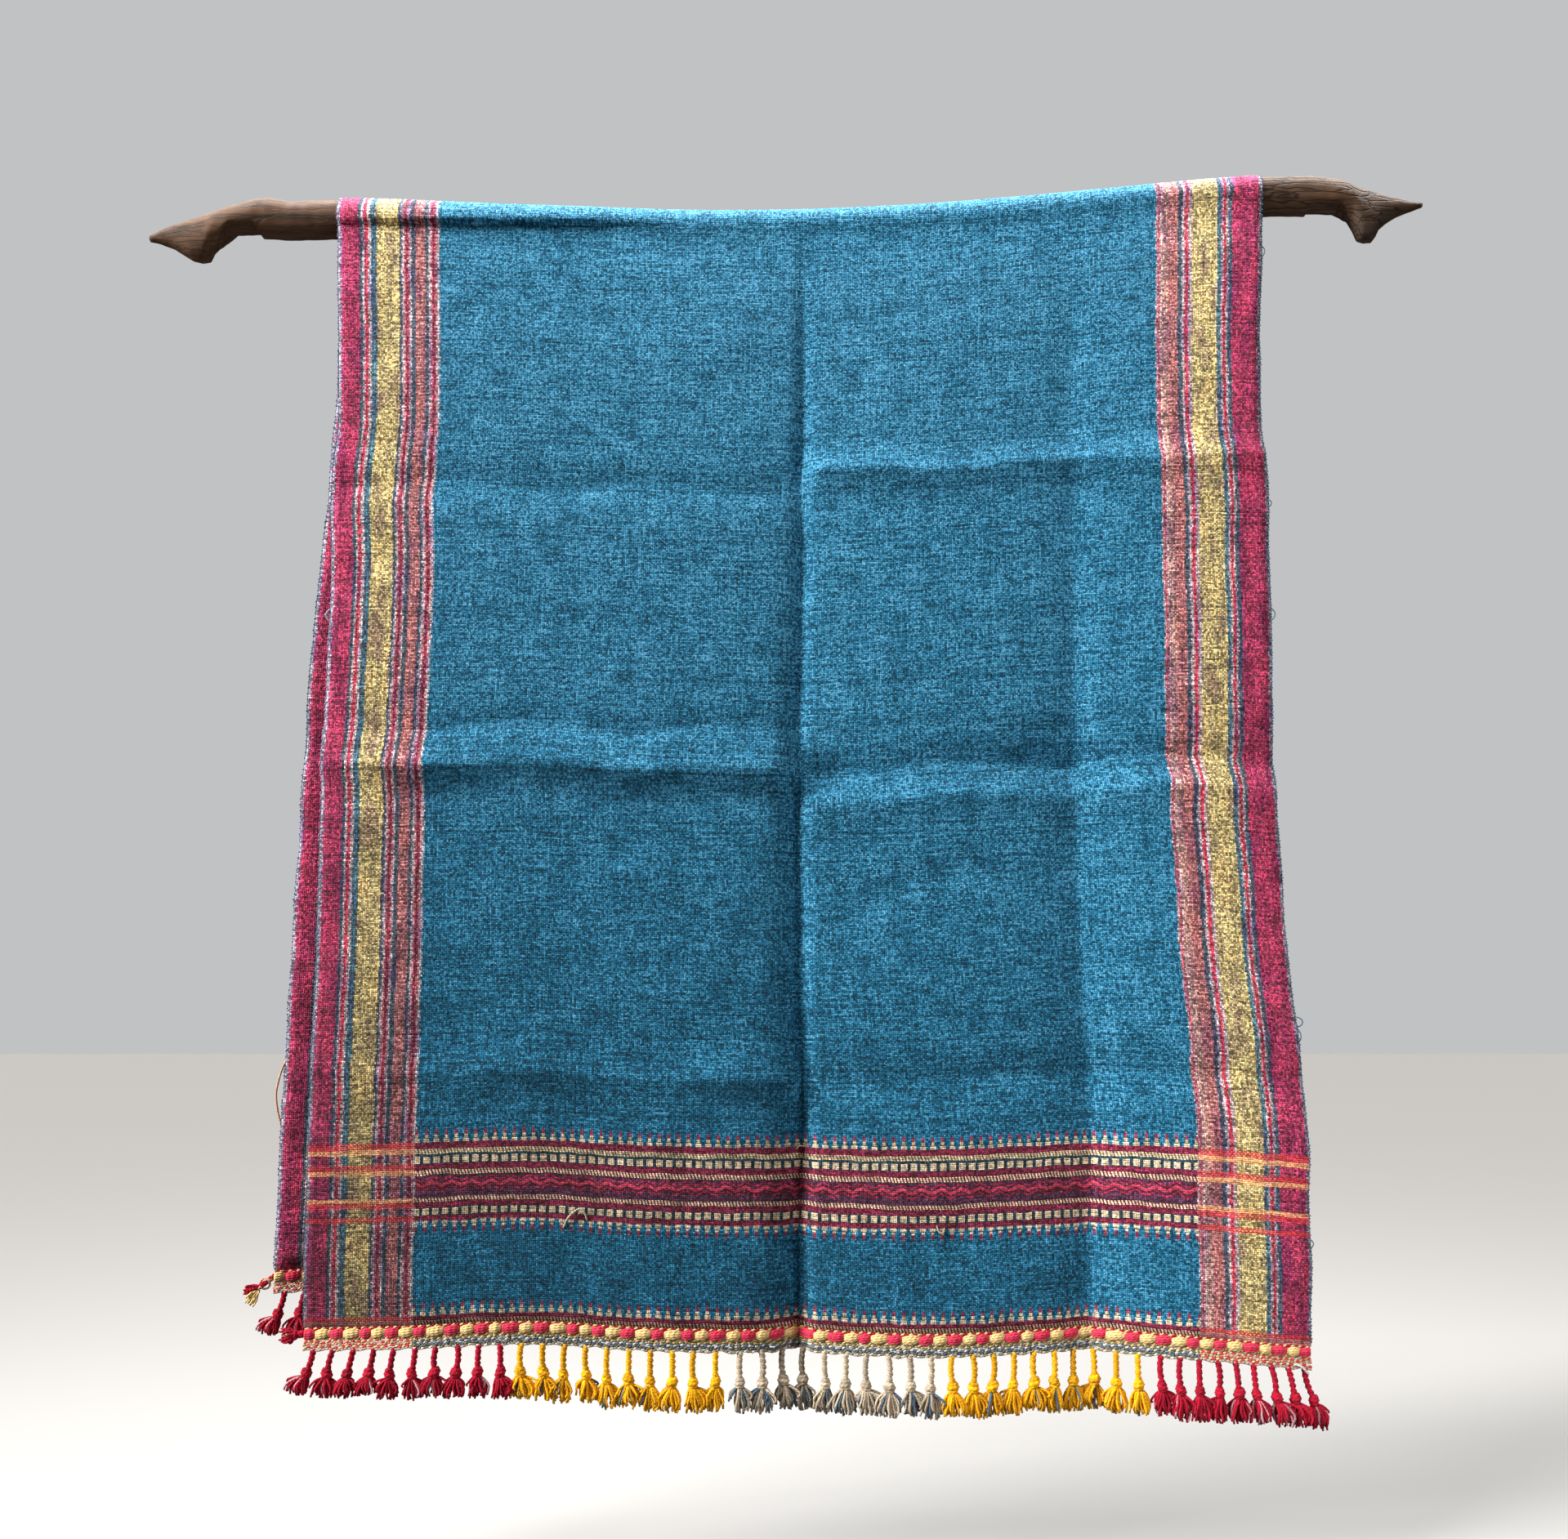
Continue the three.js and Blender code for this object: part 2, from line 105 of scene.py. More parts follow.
def rod_axis(x):
    """Height of the rod's axis, which rises to the right and sags in the middle."""
    away = np.asarray(x, float) - ROD_SAG_CENTRE
    turn = np.cos(np.pi * np.clip(away / ROD_SAG_SPAN, -0.5, 0.5))
    return ROD_MID_Z + ROD_RISE * np.asarray(x, float) - ROD_SAG * np.maximum(turn, 0) ** ROD_SAG_POWER


def waves(seed, count, shortest, longest):
    """A few random plane waves, as a function of two lengths. It stays between about -1 and 1."""
    draw = random.Random(seed)
    parts = []
    for _ in range(count):
        size = draw.uniform(shortest, longest)
        angle = draw.uniform(0, math.pi)
        parts.append((2 * math.pi / size, math.cos(angle), math.sin(angle), draw.uniform(0, 6.28)))

    def height(a, b):
        total = sum(np.sin(k * (ca * a + sa * b) + phase) for k, ca, sa, phase in parts)
        return total / math.sqrt(2 * count)

    return height


def new_object(name, points, faces, materials, uvs=None, finishes=None):
    """A smooth mesh object. uvs has a pair for each face corner, finishes an index for each face."""
    mesh = bpy.data.meshes.new(name)
    mesh.from_pydata([tuple(p) for p in points], [], faces)
    for material in materials:
        mesh.materials.append(material)
    mesh.polygons.foreach_set("use_smooth", [True] * len(mesh.polygons))
    if finishes is not None:
        mesh.polygons.foreach_set("material_index", list(finishes))
    if uvs is not None:
        layer = mesh.uv_layers.new(name="cloth_metres")
        layer.data.foreach_set("uv", np.asarray(uvs, float).ravel())
    mesh.update()
    made = bpy.data.objects.new(name, mesh)
    bpy.context.collection.objects.link(made)
    return made


def put(tree, kind, inputs=None, **settings):
    """Adds a shader node. An input is a plain value, or the output that feeds it."""
    node = tree.nodes.new("ShaderNode" + kind)
    for key, value in settings.items():
        setattr(node, key, value)
    for socket, value in (inputs or {}).items():
        if isinstance(value, bpy.types.NodeSocket):
            tree.links.new(value, node.inputs[socket])
        else:
            node.inputs[socket].default_value = value
    return node


def calc(tree, operation, *values):
    """One step of arithmetic in a shader."""
    return put(tree, "Math", dict(enumerate(values)), operation=operation).outputs[0]


def blend(tree, share, first, second, mode="MIX"):
    """Two colours mixed by a share from 0 to 1."""
    ends = {"Factor": share, "A": first, "B": second}
    node = tree.nodes.new("ShaderNodeMix")
    node.data_type = "RGBA"
    node.blend_type = mode
    for socket, value in ends.items():
        into = next(s for s in node.inputs if s.name == socket and s.enabled)
        if isinstance(value, bpy.types.NodeSocket):
            tree.links.new(value, into)
        else:
            into.default_value = value if isinstance(value, float) else (*value[:3], 1)
    return next(s for s in node.outputs if s.enabled)


def ramp(tree, at, stops, steps=False):
    """A colour ramp. Each stop is a place from 0 to 1 with a colour of 3 or 4 numbers."""
    node = put(tree, "ValToRGB", {0: at})
    table = node.color_ramp
    table.interpolation = "CONSTANT" if steps else "LINEAR"
    while len(table.elements) < len(stops):
        table.elements.new(1)
    for element, (place, colour) in zip(table.elements, stops):
        element.position = place
    for element, (place, colour) in zip(table.elements, stops):
        element.color = colour if len(colour) == 4 else (*colour, 1)
    return node


def new_material(name, roughness, sheen=0.0):
    """A material with its shader, and a place for the nodes that colour it."""
    material = bpy.data.materials.new(name)
    material.use_nodes = True
    shader = material.node_tree.nodes["Principled BSDF"]
    shader.inputs["Roughness"].default_value = roughness
    shader.inputs["Specular IOR Level"].default_value = 0.25
    shader.inputs["Sheen Weight"].default_value = sheen
    shader.inputs["Sheen Roughness"].default_value = 0.5
    return material, material.node_tree, shader


def rod_material():
    material, tree, shader = new_material("weathered_wood", 0.7)
    place = put(tree, "TexCoord").outputs["Object"]
    along = put(tree, "Mapping", {"Vector": place, "Scale": (7, 150, 150)}).outputs[0]
    fibre = put(tree, "TexNoise", {"Vector": along, "Scale": 1.0, "Detail": 8.0, "Roughness": 0.65})
    broad = put(tree, "Mapping", {"Vector": place, "Scale": (9, 30, 30)}).outputs[0]
    patches = put(tree, "TexNoise", {"Vector": broad, "Scale": 1.0, "Detail": 3.0})
    split = put(tree, "Mapping", {"Vector": place, "Scale": (11, 120, 120)}).outputs[0]
    bent = put(tree, "TexNoise", {"Vector": broad, "Scale": 3.0, "Detail": 2.0}).outputs["Color"]
    pushed = put(tree, "VectorMath", {0: split, 1: bent}, operation="ADD").outputs[0]
    cells = put(tree, "TexVoronoi", {"Vector": pushed, "Scale": 1.0}, feature="DISTANCE_TO_EDGE")
    crack = put(
        tree, "MapRange", {"Value": cells.outputs["Distance"], "From Min": 0.0, "From Max": 0.09}
    ).outputs[0]
    tone = ramp(tree, fibre.outputs["Fac"], [(0.32, WOOD_DARK), (0.52, WOOD_BROWN), (0.74, WOOD_PALE)])
    x = put(tree, "SeparateXYZ", {0: place}).outputs["X"]
    rightward = put(tree, "MapRange", {"Value": x, "From Min": 0.2, "From Max": 0.62}).outputs[0]
    weather = calc(tree, "MULTIPLY", patches.outputs["Fac"], calc(tree, "MULTIPLY_ADD", rightward, 0.8, 0.5))
    greyed = blend(tree, weather, tone.outputs["Color"], WOOD_GREY)
    open_crack = calc(tree, "MAXIMUM", crack, calc(tree, "SUBTRACT", 0.75, rightward))
    cracked = blend(tree, calc(tree, "SUBTRACT", 1.0, open_crack), greyed, WOOD_DARK)
    tree.links.new(cracked, shader.inputs["Base Color"])
    rough = calc(tree, "MULTIPLY_ADD", fibre.outputs["Fac"], 0.35, 0.5)
    tree.links.new(rough, shader.inputs["Roughness"])
    relief = calc(tree, "ADD", fibre.outputs["Fac"], open_crack)
    bump = put(tree, "Bump", {"Height": relief, "Strength": 0.55, "Distance": 0.0012})
    tree.links.new(bump.outputs[0], shader.inputs["Normal"])
    return material


def rod_mesh():
    """Rings along the rod: a round stave between its two carved ends."""
    stave = np.linspace(ROD_STAVE_FROM, ROD_STAVE_TO, ROD_STAVE_RINGS)
    low = rod_axis(stave) - ROD_HEIGHT / 2
    body = np.stack([stave, low + ROD_HEIGHT, low, low, np.full(len(stave), ROD_DEPTH)], axis=1)
    table = np.concatenate([ROD_LEFT_END, body, ROD_RIGHT_END])
    places = [table[0, 0]]
    for here, there in zip(table[:-1, 0], table[1:, 0]):
        parts = 1
        if abs(here) > ROD_CARVED_BEYOND:
            parts = max(1, round((there - here) / ROD_RING_STEP))
        places.extend(here + (there - here) * (k + 1) / parts for k in range(parts))
    places = np.array(places)
    top, bottom, keel, depth = (np.interp(places, table[:, 0], table[:, c]) for c in range(1, 5))
    angle = 2 * np.pi * np.arange(ROD_SIDES) / ROD_SIDES
    tool_marks = waves(11, 14, 0.012, 0.06)
    girth = 0.05 * angle[None, :] / 6.28
    carved = 0.0005 * tool_marks(places[:, None], np.sin(angle)[None, :] * 0.02 + girth)
    half = (top - keel)[:, None] / 2
    z = (top + keel)[:, None] / 2 + (half + carved) * np.cos(angle)[None, :]
    z = np.maximum(z, bottom[:, None] + 0.3 * carved)
    y = (depth[:, None] / 2 + carved) * np.sin(angle)[None, :]
    points = np.stack([np.repeat(places[:, None], ROD_SIDES, axis=1), y, z], axis=2).reshape(-1, 3)
    faces = []
    for r in range(len(places) - 1):
        for k in range(ROD_SIDES):
            a = r * ROD_SIDES + k
            b = r * ROD_SIDES + (k + 1) % ROD_SIDES
            faces.append((a, a + ROD_SIDES, b + ROD_SIDES, b))
    last = (len(places) - 1) * ROD_SIDES
    faces.append(tuple(range(ROD_SIDES)))
    faces.append(tuple(reversed(range(last, last + ROD_SIDES))))
    return points, faces


points, faces = rod_mesh()
rod = new_object("rod_carved", points, faces, [rod_material()])
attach(rod, "root")
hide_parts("rod")


# ---- The cloth ----
# One length of plain-woven wool with a striped border along each selvedge and a patterned
# band near each end. It was folded for storage, and the creases still show.

CLOTH_WIDTH = 0.952
CLOTH_THICKNESS = 0.002
SEAM_GAP = 0.0004
BRAID_HALF_HEIGHT = 0.0052
LEFT_AT_ROD = -0.461
RIGHT_AT_ROD = 0.495
FRONT_DROP = 1.115
OVER_ROD = 0.061
BACK_DROP = 1.066
HEM_FOOT = BRAID_HALF_HEIGHT + SEAM_GAP
CLOTH_LENGTH = 2 * HEM_FOOT + FRONT_DROP + OVER_ROD + BACK_DROP

# Columns: share of the drop, left selvedge, right selvedge.
FRONT_EDGES = [
    (0, LEFT_AT_ROD, RIGHT_AT_ROD), (0.2, -0.452, 0.484), (0.27, -0.457, 0.4875),
    (0.34, -0.453, 0.4865), (0.52, -0.4555, 0.4845), (0.7, -0.4545, 0.491),
    (0.81, -0.4555, 0.501), (1, -0.454, 0.498),
]
BACK_EDGES = [
    (0, LEFT_AT_ROD, RIGHT_AT_ROD), (0.27, -0.470, 0.482), (0.42, -0.481, 0.470),
    (0.7, -0.491, 0.461), (1, -0.496, 0.455),
]
# Columns: share of the width, height of the middle of the braid.
FRONT_HEM = [
    (0, -1.121), (0.11, -1.116), (0.22, -1.112), (0.33, -1.117),
    (0.6, -1.123), (0.78, -1.120), (0.9, -1.126), (1, -1.138),
]
BACK_HEM = [(0, -1.076), (0.25, -1.070), (0.5, -1.074), (0.75, -1.062), (1, -1.046)]

# The three long creases, at shares of the width.
LEFT_CREASE, CENTRE_CREASE, RIGHT_CREASE = 0.271, 0.498, 0.795
# How far they drift to the left by the hem. Columns: share of the width, drift.
CREASE_DRIFT = [
    (0, 0), (LEFT_CREASE, 0), (CENTRE_CREASE, 0.0066), (RIGHT_CREASE, 0.0165), (1, 0),
]
# Near the rod the centre crease bows to the right, fading at this share of the width.
CENTRE_BOW, CENTRE_BOW_REACH = 0.005, 0.2
# The four panels between the creases belly out, less near the rod than at the hem.
BELLY_TOP = 0.003
BELLY_HEM = 0.015
BELLY_SHARES = np.array([1.0, 1.1, 1.15, 1.45])
# The centre crease is a groove with a long left side. Each has its size at the rod and the hem.
GROOVE_TOP, GROOVE_HEM = 0.0055, 0.0175
GROOVE_LEFT_TOP, GROOVE_LEFT_HEM = 0.013, 0.050
GROOVE_LEFT_SHARPNESS = 2.5
GROOVE_RIGHT = 0.017
GROOVE_RIGHT_SHARPNESS = 1.4
# The left crease is a ridge and the right one a furrow. Columns: line, height, reach.
QUARTER_CREASES = [(LEFT_CREASE, 0.0120, 0.110), (RIGHT_CREASE, -0.0055, 0.032)]

# Columns: share of the drop, height left of the centre crease, height right of it, how far
# the crease reaches above its line and below it.
CROSS_CREASES = [
    (0.245, 0.0, 0.0100, 0.032, 0.034),
    (0.257, -0.0095, 0.0, 0.030, 0.028),
    (0.482, -0.0046, -0.0030, 0.018, 0.014),
    (0.516, 0.0, -0.0170, 0.050, 0.028),
    (0.520, 0.0165, 0.0, 0.048, 0.034),
    (0.546, 0.0, 0.0075, 0.018, 0.036),
    (0.790, 0.0105, -0.0080, 0.036, 0.036),
]
# They die down this near the centre crease and the selvedges, and are shallower on the back.
CROSS_CLEAR_OF_CENTRE = 0.020
CROSS_FADE_FROM_EDGE = 0.10
CROSS_AT_EDGE = 0.55
CROSS_ON_BACK = 0.6
# Below the rod the cloth tucks in. Columns: distance down, how far it goes in.
TUCK = [(0, 0), (0.006, 0.0008), (0.014, 0.0024), (0.026, 0.0024), (0.06, 0)]
# Along the rod's front the cloth stands off in a lip, and tucks in sharply below its edge.
# Columns: x, height of its edge, how far it stands off.
LIP = [
    (-0.461, -0.0112, 0.0036), (-0.340, -0.0124, 0.0062), (-0.219, -0.0138, 0.0066),
    (-0.168, -0.0146, 0.0036), (-0.100, -0.0160, 0.0), (0.500, -0.0160, 0.0),
]
LIP_ABOVE = 0.024
LIP_BELOW = 0.0022
# Short wrinkles: height, reach to each side, then points across and up.
WRINKLES = [
    (0.0034, 0.012, [(-0.207, -0.7105), (-0.143, -0.679), (-0.079, -0.695), (-0.015, -0.738)]),
    (-0.0042, 0.013, [(0.028, -0.750), (0.120, -0.695), (0.192, -0.683), (0.248, -0.710)]),
    (-0.0032, 0.012, [(0.055, -0.388), (0.076, -0.402), (0.096, -0.420)]),
    (0.0018, 0.014, [(0.060, -0.520), (0.085, -0.546), (0.100, -0.575)]),
    (-0.0018, 0.010, [(-0.330, -0.030), (-0.250, -0.044), (-0.150, -0.052)]),
    (-0.0016, 0.016, [(0.150, -0.985), (0.230, -1.000), (0.310, -0.990)]),
    (0.0016, 0.018, [(-0.320, -0.860), (-0.250, -0.880), (-0.160, -0.872)]),
]


def smooth_line(rows, at, column=1):
    """A smooth line through a table's rows, with slopes taken from the neighbours."""
    table = np.array(rows, float)
    xs, ys = table[:, 0], table[:, column]
    slope = np.empty(len(xs))
    slope[1:-1] = (ys[2:] - ys[:-2]) / (xs[2:] - xs[:-2])
    slope[0] = (ys[1] - ys[0]) / (xs[1] - xs[0])
    slope[-1] = (ys[-1] - ys[-2]) / (xs[-1] - xs[-2])
    x = np.clip(at, xs[0], xs[-1])
    i = np.clip(np.searchsorted(xs, x) - 1, 0, len(xs) - 2)
    width = xs[i + 1] - xs[i]
    t = (x - xs[i]) / width
    rise = ys[i + 1] - ys[i]
    bend = (1 - t) * (slope[i] * width - rise) + t * (rise - slope[i + 1] * width)
    return ys[i] + t * rise + t * (1 - t) * bend


def at_rod(across):
    return LEFT_AT_ROD + (RIGHT_AT_ROD - LEFT_AT_ROD) * across


def tent(away, reach, sharpness=1.5):
    """1 on a crease's line, falling to 0 at its reach."""
    return np.maximum(0, 1 - np.abs(away) / reach) ** sharpness


def wrinkle(x, z, points, reach):
    """How much of a short wrinkle is felt at x and z. It fades towards both its ends."""
    nearest = np.full(x.shape, 9.0)
    share = np.zeros(x.shape)
    for i, ((xa, za), (xb, zb)) in enumerate(zip(points[:-1], points[1:])):
        length = math.hypot(xb - xa, zb - za)
        t = np.clip(((x - xa) * (xb - xa) + (z - za) * (zb - za)) / length**2, 0, 1)
        away = np.hypot(x - xa - t * (xb - xa), z - za - t * (zb - za))
        closer = away < nearest
        nearest = np.where(closer, away, nearest)
        share = np.where(closer, (i + t) / (len(points) - 1), share)
    ends = np.clip(np.sin(np.pi * np.clip(share, 0, 1)), 0, 1) ** 0.6
    return np.exp(-((nearest / reach) ** 2)) * ends


def lip(x, z):
    """How far the cloth stands off the rod's front because of the lip."""
    above = z - smooth_line(LIP, x)
    rise = np.where(above > 0, np.clip(1 - above / LIP_ABOVE, 0, 1), np.clip(1 + above / LIP_BELOW, 0, 1))
    return np.maximum(smooth_line(LIP, x, 2), 0) * rise


broad_unevenness = waves(3, 12, 0.07, 0.24)
fine_unevenness = waves(5, 16, 0.016, 0.05)
crease_wander = waves(7, 4, 0.10, 0.35)


def long_creases(across, aside, down):
    """The bellies of the four panels, the centre groove, the left ridge and the right furrow."""
    marks = np.array([0, LEFT_CREASE, CENTRE_CREASE, RIGHT_CREASE, 1])
    panel = np.clip(np.searchsorted(marks, across) - 1, 0, 3)
    t = (across - marks[panel]) / (marks[panel + 1] - marks[panel])
    # The valleys between the bellies are rounded, not folded sharp.
    arch = 4 * t * (1 - t)
    arch = np.sqrt(arch**2 + 0.01) - 0.1
    out = arch * (BELLY_TOP + (BELLY_HEM * BELLY_SHARES[panel] - BELLY_TOP) * down)
    depth = GROOVE_TOP + (GROOVE_HEM - GROOVE_TOP) * down
    left_reach = GROOVE_LEFT_TOP + (GROOVE_LEFT_HEM - GROOVE_LEFT_TOP) * down
    left_side = tent(aside, left_reach, GROOVE_LEFT_SHARPNESS)
    right_side = tent(aside, GROOVE_RIGHT, GROOVE_RIGHT_SHARPNESS)
    out = out - depth * np.where(aside < 0, left_side, right_side)
    for line, height, reach in QUARTER_CREASES:
        out = out + height * np.sqrt(down) * tent((across - line) * CLOTH_WIDTH, reach)
    return out


def cross_creases(side, aside, edge, down, x):
    """The creases across the cloth, which wander a little and vary in depth."""
    inward = np.clip(edge / CROSS_FADE_FROM_EDGE, 0, 1)
    clear = np.clip(np.abs(aside) / CROSS_CLEAR_OF_CENTRE, 0, 1)
    clear = clear * (CROSS_AT_EDGE + (1 - CROSS_AT_EDGE) * inward)
    if side > 0:
        clear = CROSS_ON_BACK * clear
    out = np.zeros(x.shape)
    for line, left, right, above, below in CROSS_CREASES:
        wander = 0.006 * crease_wander(x, 0 * x + side * line)
        away = (down - line) * FRONT_DROP + wander
        reach = np.where(away < 0, above, below)
        weight = 0.85 + 0.3 * crease_wander(x + line, 0 * x + 3 * line)
        out = out + clear * weight * tent(away, reach) * np.where(aside < 0, left, right)
    return out


def stand_out(side, across, down, x, z):
    """How far the cloth stands out from the plane in which it leaves the rod."""
    edge = np.minimum(across, 1 - across) * CLOTH_WIDTH
    drift = np.interp(across, [row[0] for row in CREASE_DRIFT], [row[1] for row in CREASE_DRIFT])
    bow = CENTRE_BOW * (1 - down) * tent(across - CENTRE_CREASE, CENTRE_BOW_REACH, 1)
    across = across + drift * down**2 - bow
    aside = (across - CENTRE_CREASE) * CLOTH_WIDTH
    settle = np.minimum(1, 8 * down)
    out = long_creases(across, aside, down) * settle + cross_creases(side, aside, edge, down, x)
    shift = 0 if side < 0 else 0.04
    for height, reach, places in WRINKLES:
        out = out + height * wrinkle(x + shift, z + shift, places, reach)
    out = out - smooth_line(TUCK, down * FRONT_DROP)
    if side < 0:
        out = out + lip(x, z)
    rough = 0.0009 * broad_unevenness(x, z + side) + 0.00022 * fine_unevenness(x, z + side)
    curl = 0.0022 * np.exp(-((edge / 0.02) ** 2)) * crease_wander(z * 2.2, across + side)
    return out + (rough + curl) * settle


def drop_points(side, across, down):
    """Points in the middle of a drop's wall. side is -1 for the front and 1 for the back."""
    edges, hem = (FRONT_EDGES, FRONT_HEM) if side < 0 else (BACK_EDGES, BACK_HEM)
    left, right = smooth_line(edges, down, 1), smooth_line(edges, down, 2)
    uneven = 0.0008 * crease_wander(down * 1.9 + side, across * 0.3)
    x = left + (right - left) * across + uneven * np.minimum(1, 8 * down)
    top = rod_axis(at_rod(across)) - SEAM_GAP
    bottom = smooth_line(hem, across) + BRAID_HALF_HEIGHT + SEAM_GAP
    z = top + (bottom - top) * down
    leaves = ROD_DEPTH / 2 + SEAM_GAP + CLOTH_THICKNESS / 2
    y = side * (leaves + stand_out(side, across, down, x, z))
    return np.stack([x, y, z], axis=-1)


def over_rod_points(across, angle):
    """Points in the middle of the stretch that lies over the rod, from -pi/2 at the front."""
    x = at_rod(across)
    close = SEAM_GAP + CLOTH_THICKNESS / 2
    lipped = lip(x, rod_axis(x) + (ROD_HEIGHT / 2 + close) * np.cos(angle))
    away = close + lipped * np.clip(-3 * np.sin(angle), 0, 1)
    y = (ROD_DEPTH / 2 + away) * np.sin(angle)
    z = rod_axis(x) + (ROD_HEIGHT / 2 + away) * np.cos(angle)
    return np.stack([x, y, z], axis=-1)


def crowded(start, stop, count, places, reach, extra):
    """Even steps from start to stop, with more of them near some places."""
    steps = list(np.linspace(start, stop, count))
    for place in places:
        steps.extend(np.linspace(place - reach, place + reach, extra))
    steps = sorted(s for s in steps if start <= s <= stop)
    kept = [steps[0]]
    for step in steps[1:]:
        if step - kept[-1] > 0.25 * (stop - start) / count:
            kept.append(step)
    kept[-1] = stop
    return np.array(kept)


def cloth_lines():
    """The sheet's columns, and for each row its points and its distance along the cloth."""
    columns = crowded(0, 1, 100, [LEFT_CREASE, CENTRE_CREASE, RIGHT_CREASE], 0.022, 13)
    creases = [row[0] for row in CROSS_CREASES]
    near_rod = np.linspace(0, 0.021, 16)
    front_down = np.concatenate([near_rod, crowded(0.0225, 1, 130, creases, 0.03, 13)])[::-1]
    back_down = crowded(0, 1, 64, creases, 0.02, 5)
    angles = np.linspace(-np.pi / 2, np.pi / 2, 19)[1:-1]
    rows, along = [], []
    for down in front_down:
        rows.append(drop_points(-1, columns, np.full(len(columns), down)))
        along.append(HEM_FOOT + (1 - down) * FRONT_DROP)
    for angle in angles:
        rows.append(over_rod_points(columns, np.full(len(columns), angle)))
        along.append(HEM_FOOT + FRONT_DROP + OVER_ROD * (angle / np.pi + 0.5))
    for down in back_down:
        rows.append(drop_points(1, columns, np.full(len(columns), down)))
        along.append(HEM_FOOT + FRONT_DROP + OVER_ROD + down * BACK_DROP)
    return columns, np.array(rows), np.array(along)


def cloth_mesh():
    """A closed shell: the face on the outside, the reverse on the inside, and a rim."""
    columns, middle, along = cloth_lines()
    n_rows, n_columns = middle.shape[:2]
    up = np.gradient(middle, axis=0)
    right = np.gradient(middle, axis=1)
    normal = np.cross(right, up)
    normal /= np.linalg.norm(normal, axis=2, keepdims=True)
    outer = middle + normal * CLOTH_THICKNESS / 2
    inner = middle - normal * CLOTH_THICKNESS / 2
    points = np.concatenate([outer.reshape(-1, 3), inner.reshape(-1, 3)])
    under = n_rows * n_columns
    r, c = np.meshgrid(np.arange(n_rows - 1), np.arange(n_columns - 1), indexing="ij")
    a = (r * n_columns + c).ravel()
    face = np.stack([a, a + 1, a + n_columns + 1, a + n_columns], axis=1)
    back = np.stack([a, a + n_columns, a + n_columns + 1, a + 1], axis=1) + under
    ring = list(range(n_columns))
    ring += [k * n_columns + n_columns - 1 for k in range(1, n_rows)]
    ring += [(n_rows - 1) * n_columns + k for k in range(n_columns - 2, -1, -1)]
    ring += [k * n_columns for k in range(n_rows - 2, 0, -1)]
    ring = np.array(ring)
    after = np.roll(ring, -1)
    rim = np.stack([after, ring, ring + under, after + under], axis=1)
    faces = np.concatenate([face, back, rim])
    place = np.stack(np.meshgrid(columns * CLOTH_WIDTH, along), axis=-1).reshape(-1, 2)
    uvs = np.concatenate([place, place])[faces.ravel()]
    finishes = np.concatenate([np.zeros(len(face)), np.ones(len(back)), np.zeros(len(rim))]).astype(int)
    return points, faces.tolist(), uvs, finishes


BLUE = (0.0115, 0.192, 0.356)
PALE_FUZZ_AND_SHEEN_BLUE = (0.250, 0.440, 0.540)
BLUE_GREY = (0.075, 0.120, 0.175)
DARK_BLUE = (0.030, 0.070, 0.100)
TEAL = (0.070, 0.190, 0.260)
PINK = (0.480, 0.048, 0.130)
CRIMSON = (0.270, 0.026, 0.070)
RED = (0.600, 0.050, 0.100)
ROSE = (0.560, 0.150, 0.200)
SCARLET = (0.540, 0.034, 0.038)
CORAL = (0.590, 0.245, 0.235)
WHITE_WOOL = (0.560, 0.470, 0.500)
SALMON = (0.530, 0.300, 0.265)
CREAM = (0.700, 0.540, 0.360)
YELLOW = (0.650, 0.540, 0.235)
PEACH = (0.760, 0.350, 0.150)
LAVENDER = (0.330, 0.320, 0.420)
MAROON = (0.190, 0.022, 0.050)
DUSK = (0.120, 0.035, 0.080)
OLIVE = (0.260, 0.200, 0.110)
TIP_PINK = (0.280, 0.040, 0.085)
RASPBERRY = (0.480, 0.028, 0.080)

# Stripes of a border: where each starts, in millimetres from the selvedge, and its colour.
LEFT_STRIPES = [
    (0, LAVENDER), (2.4, PINK), (21.2, BLUE_GREY), (24.5, WHITE_WOOL), (26.9, RED),
    (30.4, WHITE_WOOL), (33.4, TEAL), (39.2, YELLOW), (62.8, BLUE_GREY), (65.4, WHITE_WOOL),
    (67.6, ROSE), (69.3, CRIMSON), (71.5, ROSE), (73.2, WHITE_WOOL), (75.4, BLUE_GREY),
    (79.1, CORAL), (89.7, BLUE_GREY), (92.6, WHITE_WOOL), (95.4, ROSE), (97.2, CRIMSON),
    (99.4, ROSE), (101.2, WHITE_WOOL), (104.4, BLUE),
]
RIGHT_STRIPES = [
    (0, LAVENDER), (2.6, PINK), (29.7, BLUE_GREY), (33.9, WHITE_WOOL), (36.2, RED),
    (39.4, WHITE_WOOL), (41.6, TEAL), (45.8, YELLOW), (72.1, WHITE_WOOL), (75.6, RED),
    (79.4, WHITE_WOOL), (82.3, BLUE_GREY), (86.5, CORAL), (96.7, SALMON), (103.4, WHITE_WOOL),
    (104.9, ROSE), (107.9, WHITE_WOOL), (109.4, BLUE),
]
DASHED = (CORAL, CREAM)
DASH_PITCH = 3.6
BORDER_SPAN = 115.0
LEFT_BORDER = 104.4
RIGHT_BORDER = 109.4

